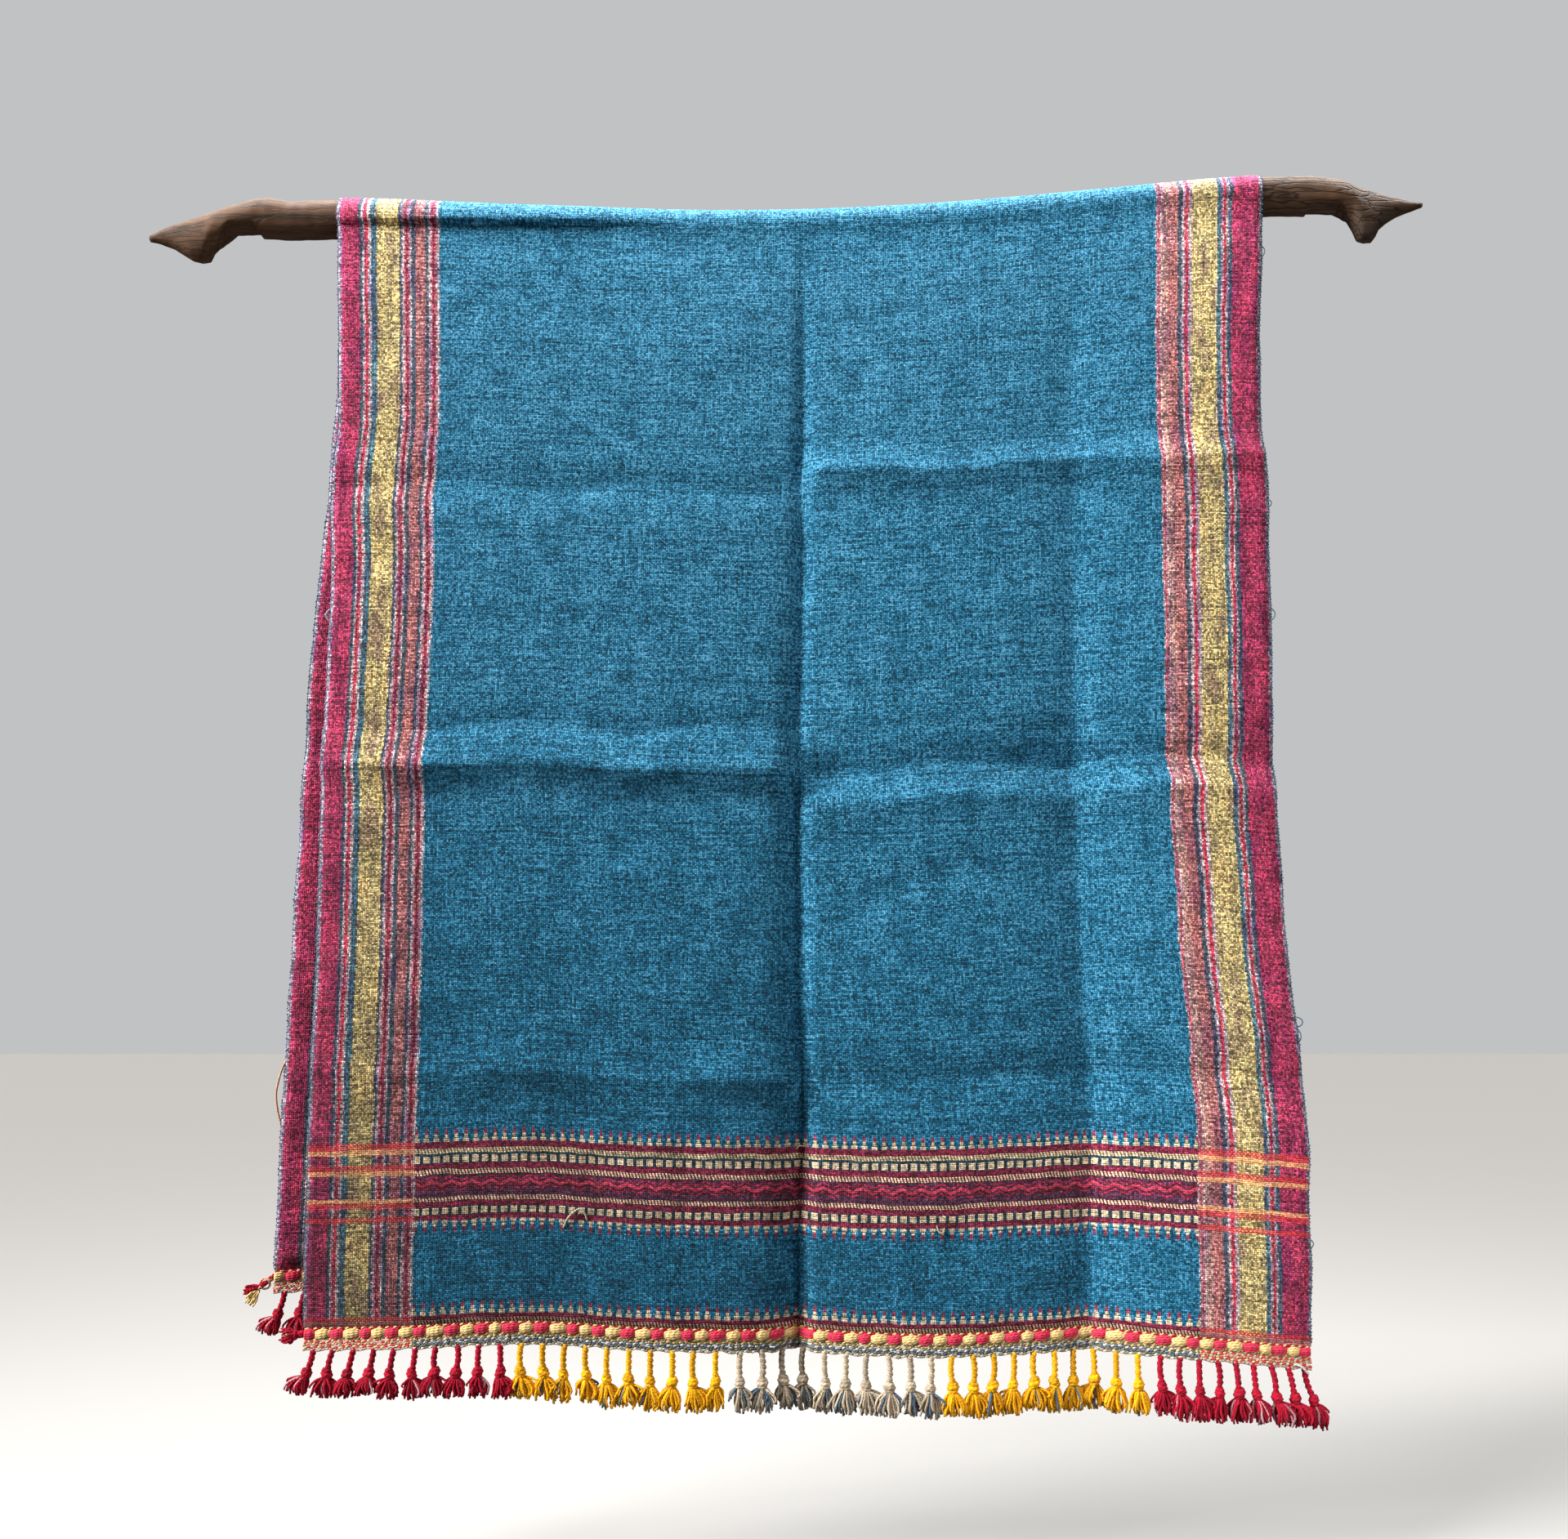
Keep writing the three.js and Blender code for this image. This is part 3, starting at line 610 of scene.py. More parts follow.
# The band: top of each row of picks in millimetres above the braid, its ground, its motif,
# the share of the repeat that the motif fills, whether it is the fine check, and the colour
# in which the row runs on through the borders.
BAND_ROWS = [
    (9.4, MAROON, CREAM, 0.56, True, CORAL),
    (14.0, CRIMSON, None, 0, False, SCARLET),
    (17.4, None, CREAM, 0.60, False, None),
    (18.1, None, None, 0, False, None),
    (21.0, None, CREAM, 0.34, False, None),
    (25.2, None, TIP_PINK, 0.30, False, None),
    (90.4, None, None, 0, False, None),
    (94.6, None, TIP_PINK, 0.30, False, None),
    (97.2, None, CREAM, 0.34, False, None),
    (97.9, None, None, 0, False, None),
    (100.9, None, CREAM, 0.60, False, None),
    (106.0, CRIMSON, None, 0, False, SCARLET),
    (107.0, DARK_BLUE, None, 0, False, None),
    (112.6, DARK_BLUE, CREAM, 0.66, False, None),
    (113.6, DARK_BLUE, None, 0, False, None),
    (118.9, CRIMSON, None, 0, False, SCARLET),
    (123.4, MAROON, CREAM, 0.56, True, PEACH),
    (144.4, DUSK, None, 0, False, None),
    (148.8, MAROON, CREAM, 0.56, True, PEACH),
    (154.4, CRIMSON, None, 0, False, SCARLET),
    (155.4, DARK_BLUE, None, 0, False, None),
    (161.4, DARK_BLUE, CREAM, 0.66, False, None),
    (163.8, DARK_BLUE, None, 0, False, None),
    (168.2, OLIVE, CREAM, 0.56, True, PEACH),
    (174.6, CRIMSON, None, 0, False, SCARLET),
    (177.8, None, CREAM, 0.60, False, None),
    (178.5, None, None, 0, False, None),
    (181.4, None, CREAM, 0.34, False, None),
    (186.2, None, TIP_PINK, 0.30, False, None),
    (400.0, None, None, 0, False, None),
]
BAND_SPAN = 200.0
MOTIF_REPEAT = 9.2
ZIGZAG_REPEAT = 18.5
ZIGZAG_MIDDLE = 136.0
ZIGZAG_SWING = 2.2
ZIGZAG_FROM, ZIGZAG_TO = 125.0, 143.0
ZIGZAG_THICK = 1.7
ZIGZAG_THIN = 0.9
ZIGZAG_THIN_BELOW, ZIGZAG_THIN_ABOVE = -4.4, 4.6
WARP_PITCH = 1.9
WEFT_PITCH = 1.8
# Where painted shade darkens the front, most at the lower left and not right of the right
# crease: up from the hem in millimetres, and how much of it is felt at shares of the width.
PAINTED_SHADE_UP_TO = 640.0
PAINTED_SHADE_DEPTH = 0.56
PAINTED_SHADE_ACROSS = [(0.0, 1.0), (0.77, 0.46), (0.80, 0.10), (1.0, 0.0)]


def new_group(name, inputs, outputs):
    """An empty shader group with its named inputs and outputs."""
    group = bpy.data.node_groups.new(name, "ShaderNodeTree")
    for title, value in inputs.items():
        socket = group.interface.new_socket(title, in_out="INPUT", socket_type="NodeSocketFloat")
        socket.default_value = value
    for title in outputs:
        group.interface.new_socket(title, in_out="OUTPUT", socket_type="NodeSocketFloat")
    return group, group.nodes.new("NodeGroupInput"), group.nodes.new("NodeGroupOutput")


def plain_weave_group():
    """Threads over and under each other. Across and Along are in millimetres."""
    outputs = [
        "Weft Over", "Height", "Pick", "Crossing", "Stray", "Warp Thread", "Weft Thread", "Cell Along",
    ]
    inputs = {"Across": 0.0, "Along": 0.0, "Warp Pitch": WARP_PITCH, "Weft Pitch": WEFT_PITCH}
    group, given, result = new_group("plain_weave", inputs, outputs)
    threads = {}
    for way, pitch in (("Across", "Warp Pitch"), ("Along", "Weft Pitch")):
        count = calc(group, "DIVIDE", given.outputs[way], given.outputs[pitch])
        whole = calc(group, "FLOOR", count)
        aside = calc(group, "SUBTRACT", calc(group, "SUBTRACT", count, whole), 0.5)
        square = calc(group, "MULTIPLY", aside, aside)
        round_over = calc(group, "MULTIPLY_ADD", square, -4.0, 1.0)
        threads[way] = (whole, round_over)
    warp, warp_round = threads["Across"]
    weft, weft_round = threads["Along"]
    weft_centre = calc(group, "MULTIPLY", calc(group, "ADD", weft, 0.5), given.outputs["Weft Pitch"])
    odd = calc(group, "FLOORED_MODULO", calc(group, "ADD", warp, weft), 2.0)
    warp_lifts = calc(group, "MULTIPLY", warp_round, calc(group, "MULTIPLY_ADD", weft_round, 0.5, 0.5))
    weft_lifts = calc(group, "MULTIPLY", weft_round, calc(group, "MULTIPLY_ADD", warp_round, 0.5, 0.5))
    difference = calc(group, "SUBTRACT", weft_lifts, warp_lifts)
    height = calc(group, "MULTIPLY_ADD", difference, odd, warp_lifts)
    pair = put(group, "CombineXYZ", {"X": warp, "Y": weft}).outputs[0]
    chance = put(group, "TexWhiteNoise", {"Vector": pair}, noise_dimensions="2D")
    chances = put(group, "SeparateColor", {0: chance.outputs["Color"]})
    crossing, stray = chances.outputs["Red"], chances.outputs["Green"]
    warp_shade = put(group, "TexWhiteNoise", {"W": warp}, noise_dimensions="1D").outputs["Value"]
    weft_shade = put(
        group, "TexWhiteNoise", {"W": calc(group, "ADD", weft, 0.37)}, noise_dimensions="1D"
    ).outputs["Value"]
    ends = [odd, height, weft_round, crossing, stray, warp_shade, weft_shade, weft_centre]
    for title, end in zip(outputs, ends):
        group.links.new(end, result.inputs[title])
    return group


def handspun_group():
    """Thick and thin places along handspun threads. Across and Along are in millimetres."""
    inputs = {"Across": 0.0, "Along": 0.0, "Length": 26.0, "Thickness": 2.4}
    group, given, result = new_group("handspun", inputs, ["Weft Slubs", "Warp Slubs", "Blotches"])
    long_way = calc(group, "DIVIDE", 1.0, given.outputs["Length"])
    short_way = calc(group, "DIVIDE", 1.0, given.outputs["Thickness"])
    across, along = given.outputs["Across"], given.outputs["Along"]
    for title, first, second in (
        ("Weft Slubs", long_way, short_way),
        ("Warp Slubs", short_way, long_way),
    ):
        place = put(group, "CombineXYZ", {
            "X": calc(group, "MULTIPLY", across, first),
            "Y": calc(group, "MULTIPLY", along, second),
        }).outputs[0]
        noise = put(group, "TexNoise", {"Vector": place, "Scale": 1.0, "Detail": 2.0}, noise_dimensions="2D")
        group.links.new(noise.outputs["Fac"], result.inputs[title])
    place = put(group, "CombineXYZ", {"X": across, "Y": along}).outputs[0]
    blotch = put(group, "TexNoise", {"Vector": place, "Scale": 0.032, "Detail": 4.0}, noise_dimensions="2D")
    group.links.new(blotch.outputs["Fac"], result.inputs["Blotches"])
    return group


plain_weave = plain_weave_group()
handspun = handspun_group()


def clear_steps(rows, span, pick):
    """Ramp stops for one column of the band's table. A row with nothing there is see-through."""
    stops, start = [], 0.0
    for row in rows:
        if start <= span:
            stops.append((start / span, pick(row)))
        start = row[0]
    return stops


def warp_stripes(tree, across, stray):
    """The borders' stripes, counted from each selvedge. Threads stray over each other there.
    Gives their colour, where they are dashed, and where the plain field lies."""
    strayed = calc(tree, "ADD", across, calc(tree, "MULTIPLY_ADD", stray, 2.0, -1.0))
    from_right = calc(tree, "SUBTRACT", CLOTH_WIDTH * 1000, strayed)
    sides, solid = [], []
    for distance, stripes in ((strayed, LEFT_STRIPES), (from_right, RIGHT_STRIPES)):
        stops = [(start / BORDER_SPAN, (*c, 0.0 if c in DASHED else 1.0)) for start, c in stripes]
        side = ramp(tree, calc(tree, "DIVIDE", distance, BORDER_SPAN), stops, steps=True)
        sides.append(side.outputs["Color"])
        solid.append(side.outputs["Alpha"])
    on_right = calc(tree, "GREATER_THAN", across, CLOTH_WIDTH * 500)
    striped = blend(tree, on_right, sides[0], sides[1])
    dashed = calc(tree, "SUBTRACT", 1.0, calc(tree, "MINIMUM", solid[0], solid[1]))
    in_field = calc(
        tree, "MULTIPLY",
        calc(tree, "GREATER_THAN", strayed, LEFT_BORDER),
        calc(tree, "GREATER_THAN", from_right, RIGHT_BORDER),
    )
    return striped, dashed, in_field


def worn_stripes(tree, across, along, weave, striped, dashed, in_border):
    """Dye that took unevenly along the border's warp, its dashes, and weft that peeps between."""
    dye_place = put(tree, "CombineXYZ", {
        "X": calc(tree, "MULTIPLY", across, 0.07),
        "Y": calc(tree, "MULTIPLY", along, 0.020),
    }).outputs[0]
    dye = put(tree, "TexNoise", {"Vector": dye_place, "Scale": 1.0, "Detail": 3.0}, noise_dimensions="2D")
    dye_tint = ramp(
        tree, dye.outputs["Fac"],
        [(0.34, (0.66, 0.56, 0.74)), (0.5, (0.98, 0.96, 0.96)), (0.64, (1.20, 1.05, 1.00))],
    ).outputs["Color"]
    dyed = blend(tree, in_border, striped, blend(tree, 1.0, striped, dye_tint, "MULTIPLY"))
    beat = calc(tree, "FRACT", calc(tree, "DIVIDE", weave.outputs["Cell Along"], DASH_PITCH))
    between = calc(tree, "MULTIPLY", calc(tree, "LESS_THAN", beat, 0.5), dashed)
    dyed = blend(tree, calc(tree, "MULTIPLY", between, 0.4), dyed, MAROON)
    crossing = weave.outputs["Crossing"]
    peeping = calc(tree, "MULTIPLY", weave.outputs["Weft Over"], calc(tree, "LESS_THAN", crossing, 0.55))
    peeping = calc(tree, "MULTIPLY", peeping, calc(tree, "MULTIPLY", in_border, 0.34))
    peeping_yarn = blend(tree, calc(tree, "LESS_THAN", crossing, 0.06), DUSK, WHITE_WOOL)
    return blend(tree, peeping, dyed, peeping_yarn)


def zigzag(tree, across, from_braid, in_field):
    """Where the band's thick zigzag line runs, and the two thin ones beside it."""
    swing = calc(tree, "PINGPONG", calc(tree, "DIVIDE", across, ZIGZAG_REPEAT), 0.5)
    swung = calc(tree, "MULTIPLY_ADD", swing, 4 * ZIGZAG_SWING, ZIGZAG_MIDDLE - ZIGZAG_SWING)
    above = calc(tree, "GREATER_THAN", from_braid, ZIGZAG_FROM)
    below = calc(tree, "LESS_THAN", from_braid, ZIGZAG_TO)
    inside = calc(tree, "MULTIPLY", calc(tree, "MULTIPLY", above, below), in_field)
    lines = []
    for offset, half_width in (
        (0.0, ZIGZAG_THICK), (ZIGZAG_THIN_BELOW, ZIGZAG_THIN), (ZIGZAG_THIN_ABOVE, ZIGZAG_THIN),
    ):
        line = calc(tree, "ADD", swung, offset)
        away = calc(tree, "ABSOLUTE", calc(tree, "SUBTRACT", from_braid, line))
        lines.append(calc(tree, "MULTIPLY", calc(tree, "LESS_THAN", away, half_width), inside))
    return lines[0], calc(tree, "MAXIMUM", lines[1], lines[2])


def with_band_rows(tree, across, from_braid, weft_over, in_field, in_border, colour):
    """The band's rows laid over the cloth's colour. Also gives its floats and what stays plain."""
    at = calc(tree, "DIVIDE", from_braid, BAND_SPAN)
    none = (0, 0, 0, 0)
    columns = [
        lambda row: (*row[1], 1) if row[1] else none,
        lambda row: (*row[2], row[3]) if row[2] else none,
        lambda row: (*row[5], 1) if row[5] else none,
        lambda row: (1, 1, 1, 1) if row[4] else none,
    ]
    ground, motif, through, fine = (
        ramp(tree, at, clear_steps(BAND_ROWS, BAND_SPAN, pick), steps=True) for pick in columns
    )
    slant = calc(tree, "MULTIPLY", calc(tree, "MULTIPLY", from_braid, fine.outputs["Alpha"]), 0.35)
    repeats = calc(tree, "DIVIDE", calc(tree, "ADD", across, slant), MOTIF_REPEAT)
    beads = calc(tree, "MULTIPLY", repeats, calc(tree, "MULTIPLY_ADD", fine.outputs["Alpha"], 2.0, 1.0))
    aside = calc(tree, "ABSOLUTE", calc(tree, "SUBTRACT", calc(tree, "FRACT", beads), 0.5))
    reach = calc(tree, "MULTIPLY", motif.outputs["Alpha"], 0.5)
    in_motif = calc(tree, "MULTIPLY", calc(tree, "LESS_THAN", aside, reach), in_field)
    thick, thin = zigzag(tree, across, from_braid, in_field)
    covers = calc(tree, "MULTIPLY", ground.outputs["Alpha"], in_field)
    colour = blend(tree, covers, colour, ground.outputs["Color"])
    colour = blend(tree, in_motif, colour, motif.outputs["Color"])
    colour = blend(tree, thin, colour, RASPBERRY)
    colour = blend(tree, thick, colour, RED)
    plain = calc(tree, "SUBTRACT", in_field, calc(tree, "MAXIMUM", covers, in_motif))
    crosses = calc(tree, "MULTIPLY", through.outputs["Alpha"], in_border)
    shown = calc(tree, "MULTIPLY", crosses, calc(tree, "MULTIPLY_ADD", weft_over, 0.35, 0.6))
    colour = blend(tree, shown, colour, through.outputs["Color"])
    floats = calc(tree, "MAXIMUM", calc(tree, "MAXIMUM", in_motif, thick), crosses)
    return colour, floats, plain


def painted_light_and_shade(tree, across, along, from_braid):
    """Painted light makes the wool lighter towards the rod, and painted shade darkens its front left corner.
    """
    # Painted light: the cloth gets lighter towards the rod.
    painted_top_light = put(tree, "MapRange", {
        "Value": from_braid, "From Max": FRONT_DROP * 1000, "To Min": 0.84, "To Max": 1.12,
    }).outputs[0]
    # Painted shade: darker low down, most on the left, none right of the right crease.
    low = put(tree, "MapRange", {
        "Value": along, "From Max": PAINTED_SHADE_UP_TO, "To Min": 1.0, "To Max": 0.0,
    }).outputs[0]
    left = ramp(
        tree, calc(tree, "DIVIDE", across, CLOTH_WIDTH * 1000),
        [(place, (share, share, share)) for place, share in PAINTED_SHADE_ACROSS],
    ).outputs["Color"]
    painted_low_left_shade = calc(tree, "MULTIPLY_ADD", calc(tree, "MULTIPLY", low, left), -PAINTED_SHADE_DEPTH, 1.0)
    return calc(tree, "MULTIPLY", painted_top_light, painted_low_left_shade)


def thread_shade(tree, weave, slubs, nap, floats):
    """Each crossing catches the light its own way, the nap is uneven, and thick places show. Shade is
    painted in the gaps between threads and along the edges of floats.
    """
    nap_shade = put(tree, "MapRange", {
        "Value": nap, "From Min": 0.32, "From Max": 0.70, "To Min": 0.34, "To Max": 1.85,
    }).outputs[0]
    speck = calc(tree, "MULTIPLY_ADD", weave.outputs["Crossing"], 1.35, 0.35)
    weft_slubs = calc(tree, "MULTIPLY_ADD", slubs.outputs["Weft Slubs"], 1.5, -0.15)
    slub_shade = calc(tree, "MULTIPLY_ADD", slubs.outputs["Warp Slubs"], 0.8, weft_slubs)
    pale_warp = calc(tree, "MULTIPLY_ADD", weave.outputs["Warp Thread"], 0.22, 0.96)
    dark_picks = calc(tree, "POWER", weave.outputs["Weft Thread"], 5.0)
    threads = calc(tree, "MULTIPLY_ADD", dark_picks, -0.42, pale_warp)
    # Painted shade in the gaps between threads, where the weave is low.
    painted_gap_shade = calc(tree, "MULTIPLY_ADD", weave.outputs["Height"], 0.95, 0.38)
    blotch = calc(tree, "MULTIPLY_ADD", slubs.outputs["Blotches"], 0.9, 0.55)
    if floats is not None:
        # A float lies over several threads: it shows as one smooth bar, with painted shade in a dark line
        # each side.
        painted_float_shade = calc(tree, "MULTIPLY_ADD", weave.outputs["Pick"], 1.1, 0.55)
        kept = calc(tree, "MULTIPLY_ADD", floats, -0.75, 1.0)
        level = calc(tree, "MULTIPLY", calc(tree, "SUBTRACT", 1.0, kept), painted_float_shade)
        speck = calc(tree, "MULTIPLY_ADD", speck, kept, level)
        painted_gap_shade = calc(tree, "MAXIMUM", painted_gap_shade, calc(tree, "MULTIPLY", floats, 0.95))
    shade = calc(tree, "MULTIPLY", speck, slub_shade)
    for more in (nap_shade, threads, painted_gap_shade, blotch):
        shade = calc(tree, "MULTIPLY", shade, more)
    return shade


def cloth_material(name, with_band):
    """The wool cloth's face, with its band, or its reverse."""
    material, tree, shader = new_material(name, 0.92, sheen=0.04)
    where = put(tree, "UVMap", uv_map="cloth_metres").outputs[0]
    metres = put(tree, "SeparateXYZ", {0: where})
    across = calc(tree, "MULTIPLY", metres.outputs["X"], 1000.0)
    along = calc(tree, "MULTIPLY", metres.outputs["Y"], 1000.0)
    drift = put(tree, "TexNoise", {"Vector": where, "Scale": 42.0, "Detail": 2.0}, noise_dimensions="2D")
    drifts = put(tree, "SeparateColor", {0: drift.outputs["Color"]})
    across = calc(tree, "ADD", across, calc(tree, "MULTIPLY_ADD", drifts.outputs["Red"], 1.2, -0.6))
    along = calc(tree, "ADD", along, calc(tree, "MULTIPLY_ADD", drifts.outputs["Green"], 3.2, -1.6))
    from_braid = calc(tree, "MINIMUM", along, calc(tree, "SUBTRACT", CLOTH_LENGTH * 1000, along))

    weave = put(tree, "Group", node_tree=plain_weave)
    slubs = put(tree, "Group", node_tree=handspun)
    for group in (weave, slubs):
        tree.links.new(across, group.inputs["Across"])
        tree.links.new(along, group.inputs["Along"])
    nap_place = put(tree, "CombineXYZ", {"X": across, "Y": calc(tree, "MULTIPLY", along, 1.25)}).outputs[0]
    nap = put(
        tree, "TexNoise", {"Vector": nap_place, "Scale": 0.34, "Detail": 4.0, "Roughness": 0.7},
        noise_dimensions="2D",
    ).outputs["Fac"]

    striped, dashed, in_field = warp_stripes(tree, across, weave.outputs["Stray"])
    in_border = calc(tree, "SUBTRACT", 1.0, in_field)
    colour = worn_stripes(tree, across, along, weave, striped, dashed, in_border)
    plain, floats, lifted = in_field, None, weave.outputs["Height"]
    if with_band:
        colour, floats, plain = with_band_rows(
            tree, across, from_braid, weave.outputs["Weft Over"], in_field, in_border, colour,
        )
        lifted = calc(tree, "MULTIPLY_ADD", floats, 0.8, lifted)

    shade = thread_shade(tree, weave, slubs, nap, floats)
    # Painted light towards the rod and painted shade at the lower left.
    shade = calc(tree, "MULTIPLY", shade, painted_light_and_shade(tree, across, along, from_braid))
    shade_colour = put(tree, "CombineColor", {"Red": shade, "Green": shade, "Blue": shade}).outputs[0]
    shaded = blend(tree, 1.0, colour, shade_colour, "MULTIPLY")
    # Where the plain field's threads are brightest, by their own shade and the painted light, they blend
    # towards pale blue: partly pale fuzz, partly painted sheen.
    pale = put(tree, "MapRange", {
        "Value": shade, "From Min": 0.90, "From Max": 2.4, "To Max": 0.5,
    }).outputs[0]
    pale = calc(tree, "MULTIPLY", pale, plain)
    tree.links.new(blend(tree, pale, shaded, PALE_FUZZ_AND_SHEEN_BLUE), shader.inputs["Base Color"])

    thick_places = calc(tree, "ADD", slubs.outputs["Weft Slubs"], nap)
    relief = calc(tree, "ADD", lifted, calc(tree, "MULTIPLY", thick_places, 1.4))
    bump = put(tree, "Bump", {"Height": relief, "Strength": 0.8, "Distance": 0.0007})
    tree.links.new(bump.outputs[0], shader.inputs["Normal"])
    return material


points, faces, uvs, finishes = cloth_mesh()
face_finish = cloth_material("wool_cloth_face", with_band=True)
reverse_finish = cloth_material("wool_cloth_reverse", with_band=False)
cloth = new_object("shawl_cloth", points, faces, [face_finish, reverse_finish], uvs, finishes)
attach(cloth, "root")
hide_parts("cloth_front", "cloth_over_rod", "cloth_back")


# ---- The selvedges ----
# Along both long edges the weft turns back at every pick, in small loops of blue-grey and
# lavender wool. Here and there a longer loop or a loose end stands off the edge.

TURN_PITCH = 0.0030
TURN_OUT = 0.0011
TURN_THICKNESS = 0.0006
SELVEDGE_STRETCHES = 9


class Strands:
    """Lengths of yarn gathered into one mesh. Its UV map has the strand's number plus the
    share of a turn round it, and the distance along it in metres."""

    def __init__(self):
        self.points, self.faces, self.uvs, self.finishes = [], [], [], []
        self.count = self.base = 0

    def add(self, path, radius, sides=5, finish=0):
        path = np.asarray(path, float)
        n = len(path)
        radius = np.broadcast_to(np.asarray(radius, float), (n,))
        tangent = np.gradient(path, axis=0)
        tangent /= np.linalg.norm(tangent, axis=1, keepdims=True) + 1e-12
        reference = np.zeros(3)
        reference[np.argmin(np.abs(tangent).max(axis=0))] = 1
        first = np.cross(tangent, reference)
        first /= np.linalg.norm(first, axis=1, keepdims=True) + 1e-12
        second = np.cross(tangent, first)
        angle = 2 * np.pi * np.arange(sides) / sides
        ring = first[:, None] * np.cos(angle)[None, :, None] + second[:, None] * np.sin(angle)[None, :, None]
        base = self.base
        self.points.append((path[:, None] + ring * radius[:, None, None]).reshape(-1, 3))
        self.base += n * sides
        steps = np.linalg.norm(np.diff(path, axis=0), axis=1)
        along = np.concatenate([[0], np.cumsum(steps)])
        r, k = np.meshgrid(np.arange(n - 1), np.arange(sides), indexing="ij")
        after = (k + 1) % sides
        quads = np.stack([
            r * sides + k, r * sides + after, (r + 1) * sides + after, (r + 1) * sides + k,
        ], axis=-1).reshape(-1, 4) + base
        turn = self.count + np.stack([k, k + 1, k + 1, k], axis=-1) / sides * 0.98
        down = np.stack([along[r], along[r], along[r + 1], along[r + 1]], axis=-1)
        self.uvs.append(np.stack([turn, down], axis=-1).reshape(-1, 2))
        self.faces.extend(quads.tolist())
        last = base + (n - 1) * sides
        self.faces.append(list(range(base + sides - 1, base - 1, -1)))
        self.faces.append(list(range(last, last + sides)))
        self.uvs.append(np.tile([self.count + 0.5, 0.0], (sides, 1)))
        self.uvs.append(np.tile([self.count + 0.5, along[-1]], (sides, 1)))
        self.finishes.extend([finish] * (len(quads) + 2))
        self.count += 1

    def made(self, name, materials, *nodes, slot):
        uvs = np.concatenate(self.uvs)
        made = new_object(name, np.concatenate(self.points), self.faces, materials, uvs, self.finishes)
        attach(made, "root")
        if nodes:
            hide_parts(*nodes)
        return made


def yarn_group():
    """Twisted wool seen close to: plies that wind round the strand, a shade of its own, and painted shade in
    the grooves between the plies.
    """
    inputs = {"Strand": 0.0, "Along": 0.0, "Plies": 2.0, "Twist": 160.0}
    group, given, result = new_group("wool_yarn", inputs, ["Shade", "Relief"])
    number = calc(group, "FLOOR", given.outputs["Strand"])
    turn = calc(group, "SUBTRACT", given.outputs["Strand"], number)
    own = put(group, "TexWhiteNoise", {"W": number}, noise_dimensions="1D").outputs["Value"]
    wound = calc(group, "ADD", turn, calc(group, "MULTIPLY", given.outputs["Along"], given.outputs["Twist"]))
    turns = calc(group, "MULTIPLY", wound, given.outputs["Plies"])
    ply = calc(group, "SINE", calc(group, "MULTIPLY", turns, 6.2832))
    place = put(group, "CombineXYZ", {
        "X": calc(group, "MULTIPLY", given.outputs["Strand"], 3.0),
        "Y": calc(group, "MULTIPLY", given.outputs["Along"], 420.0),
    }).outputs[0]
    fuzz = put(group, "TexNoise", {"Vector": place, "Scale": 1.0, "Detail": 3.0}, noise_dimensions="2D")
    relief = calc(group, "MULTIPLY_ADD", ply, 0.35, fuzz.outputs["Fac"])
    shade = calc(group, "MULTIPLY_ADD", own, 0.5, 0.66)
    # Painted shade darkens the grooves between the plies, and the fuzz adds tone at random.
    shade = calc(group, "MULTIPLY", shade, calc(group, "MULTIPLY_ADD", relief, 0.45, 0.75))
    group.links.new(shade, result.inputs["Shade"])
    group.links.new(relief, result.inputs["Relief"])
    return group


wool_yarn = yarn_group()


def yarn_material(name, colour, twist=160.0):
    material, tree, shader = new_material(name, 0.88, sheen=0.03)
    where = put(tree, "SeparateXYZ", {0: put(tree, "UVMap", uv_map="cloth_metres").outputs[0]})
    yarn = put(tree, "Group", node_tree=wool_yarn)
    tree.links.new(where.outputs["X"], yarn.inputs["Strand"])
    tree.links.new(where.outputs["Y"], yarn.inputs["Along"])
    yarn.inputs["Twist"].default_value = twist
    shade = yarn.outputs["Shade"]
    shade_colour = put(tree, "CombineColor", {"Red": shade, "Green": shade, "Blue": shade}).outputs[0]
    tree.links.new(blend(tree, 1.0, shade_colour, colour, "MULTIPLY"), shader.inputs["Base Color"])
    bump = put(tree, "Bump", {"Height": yarn.outputs["Relief"], "Strength": 0.7, "Distance": 0.0007})
    tree.links.new(bump.outputs[0], shader.inputs["Normal"])
    return material


blue_grey_yarn = yarn_material("yarn_blue_grey", (0.100, 0.165, 0.240))
lavender_yarn = yarn_material("yarn_lavender", (0.360, 0.350, 0.460))
peach_yarn = yarn_material("yarn_peach", (0.760, 0.430, 0.300))


def edge_line(across, share_from, share_to, count):
    """Points along a selvedge. Shares run from the front hem at 0 to the back hem at 1."""
    lengths = np.array([FRONT_DROP, OVER_ROD, BACK_DROP])
    ends = np.concatenate([[0], np.cumsum(lengths)]) / lengths.sum()
    points = []
    for share in np.linspace(share_from, share_to, count):
        edge = np.array([across])
        if share < ends[1]:
            point = drop_points(-1, edge, np.array([1 - share / ends[1]]))
        elif share < ends[2]:
            angle = ((share - ends[1]) / (ends[2] - ends[1]) - 0.5) * np.pi
            point = over_rod_points(edge, np.array([angle]))
        else:
            point = drop_points(1, edge, np.array([(share - ends[2]) / (1 - ends[2])]))
        points.append(point[0])
    return np.array(points)


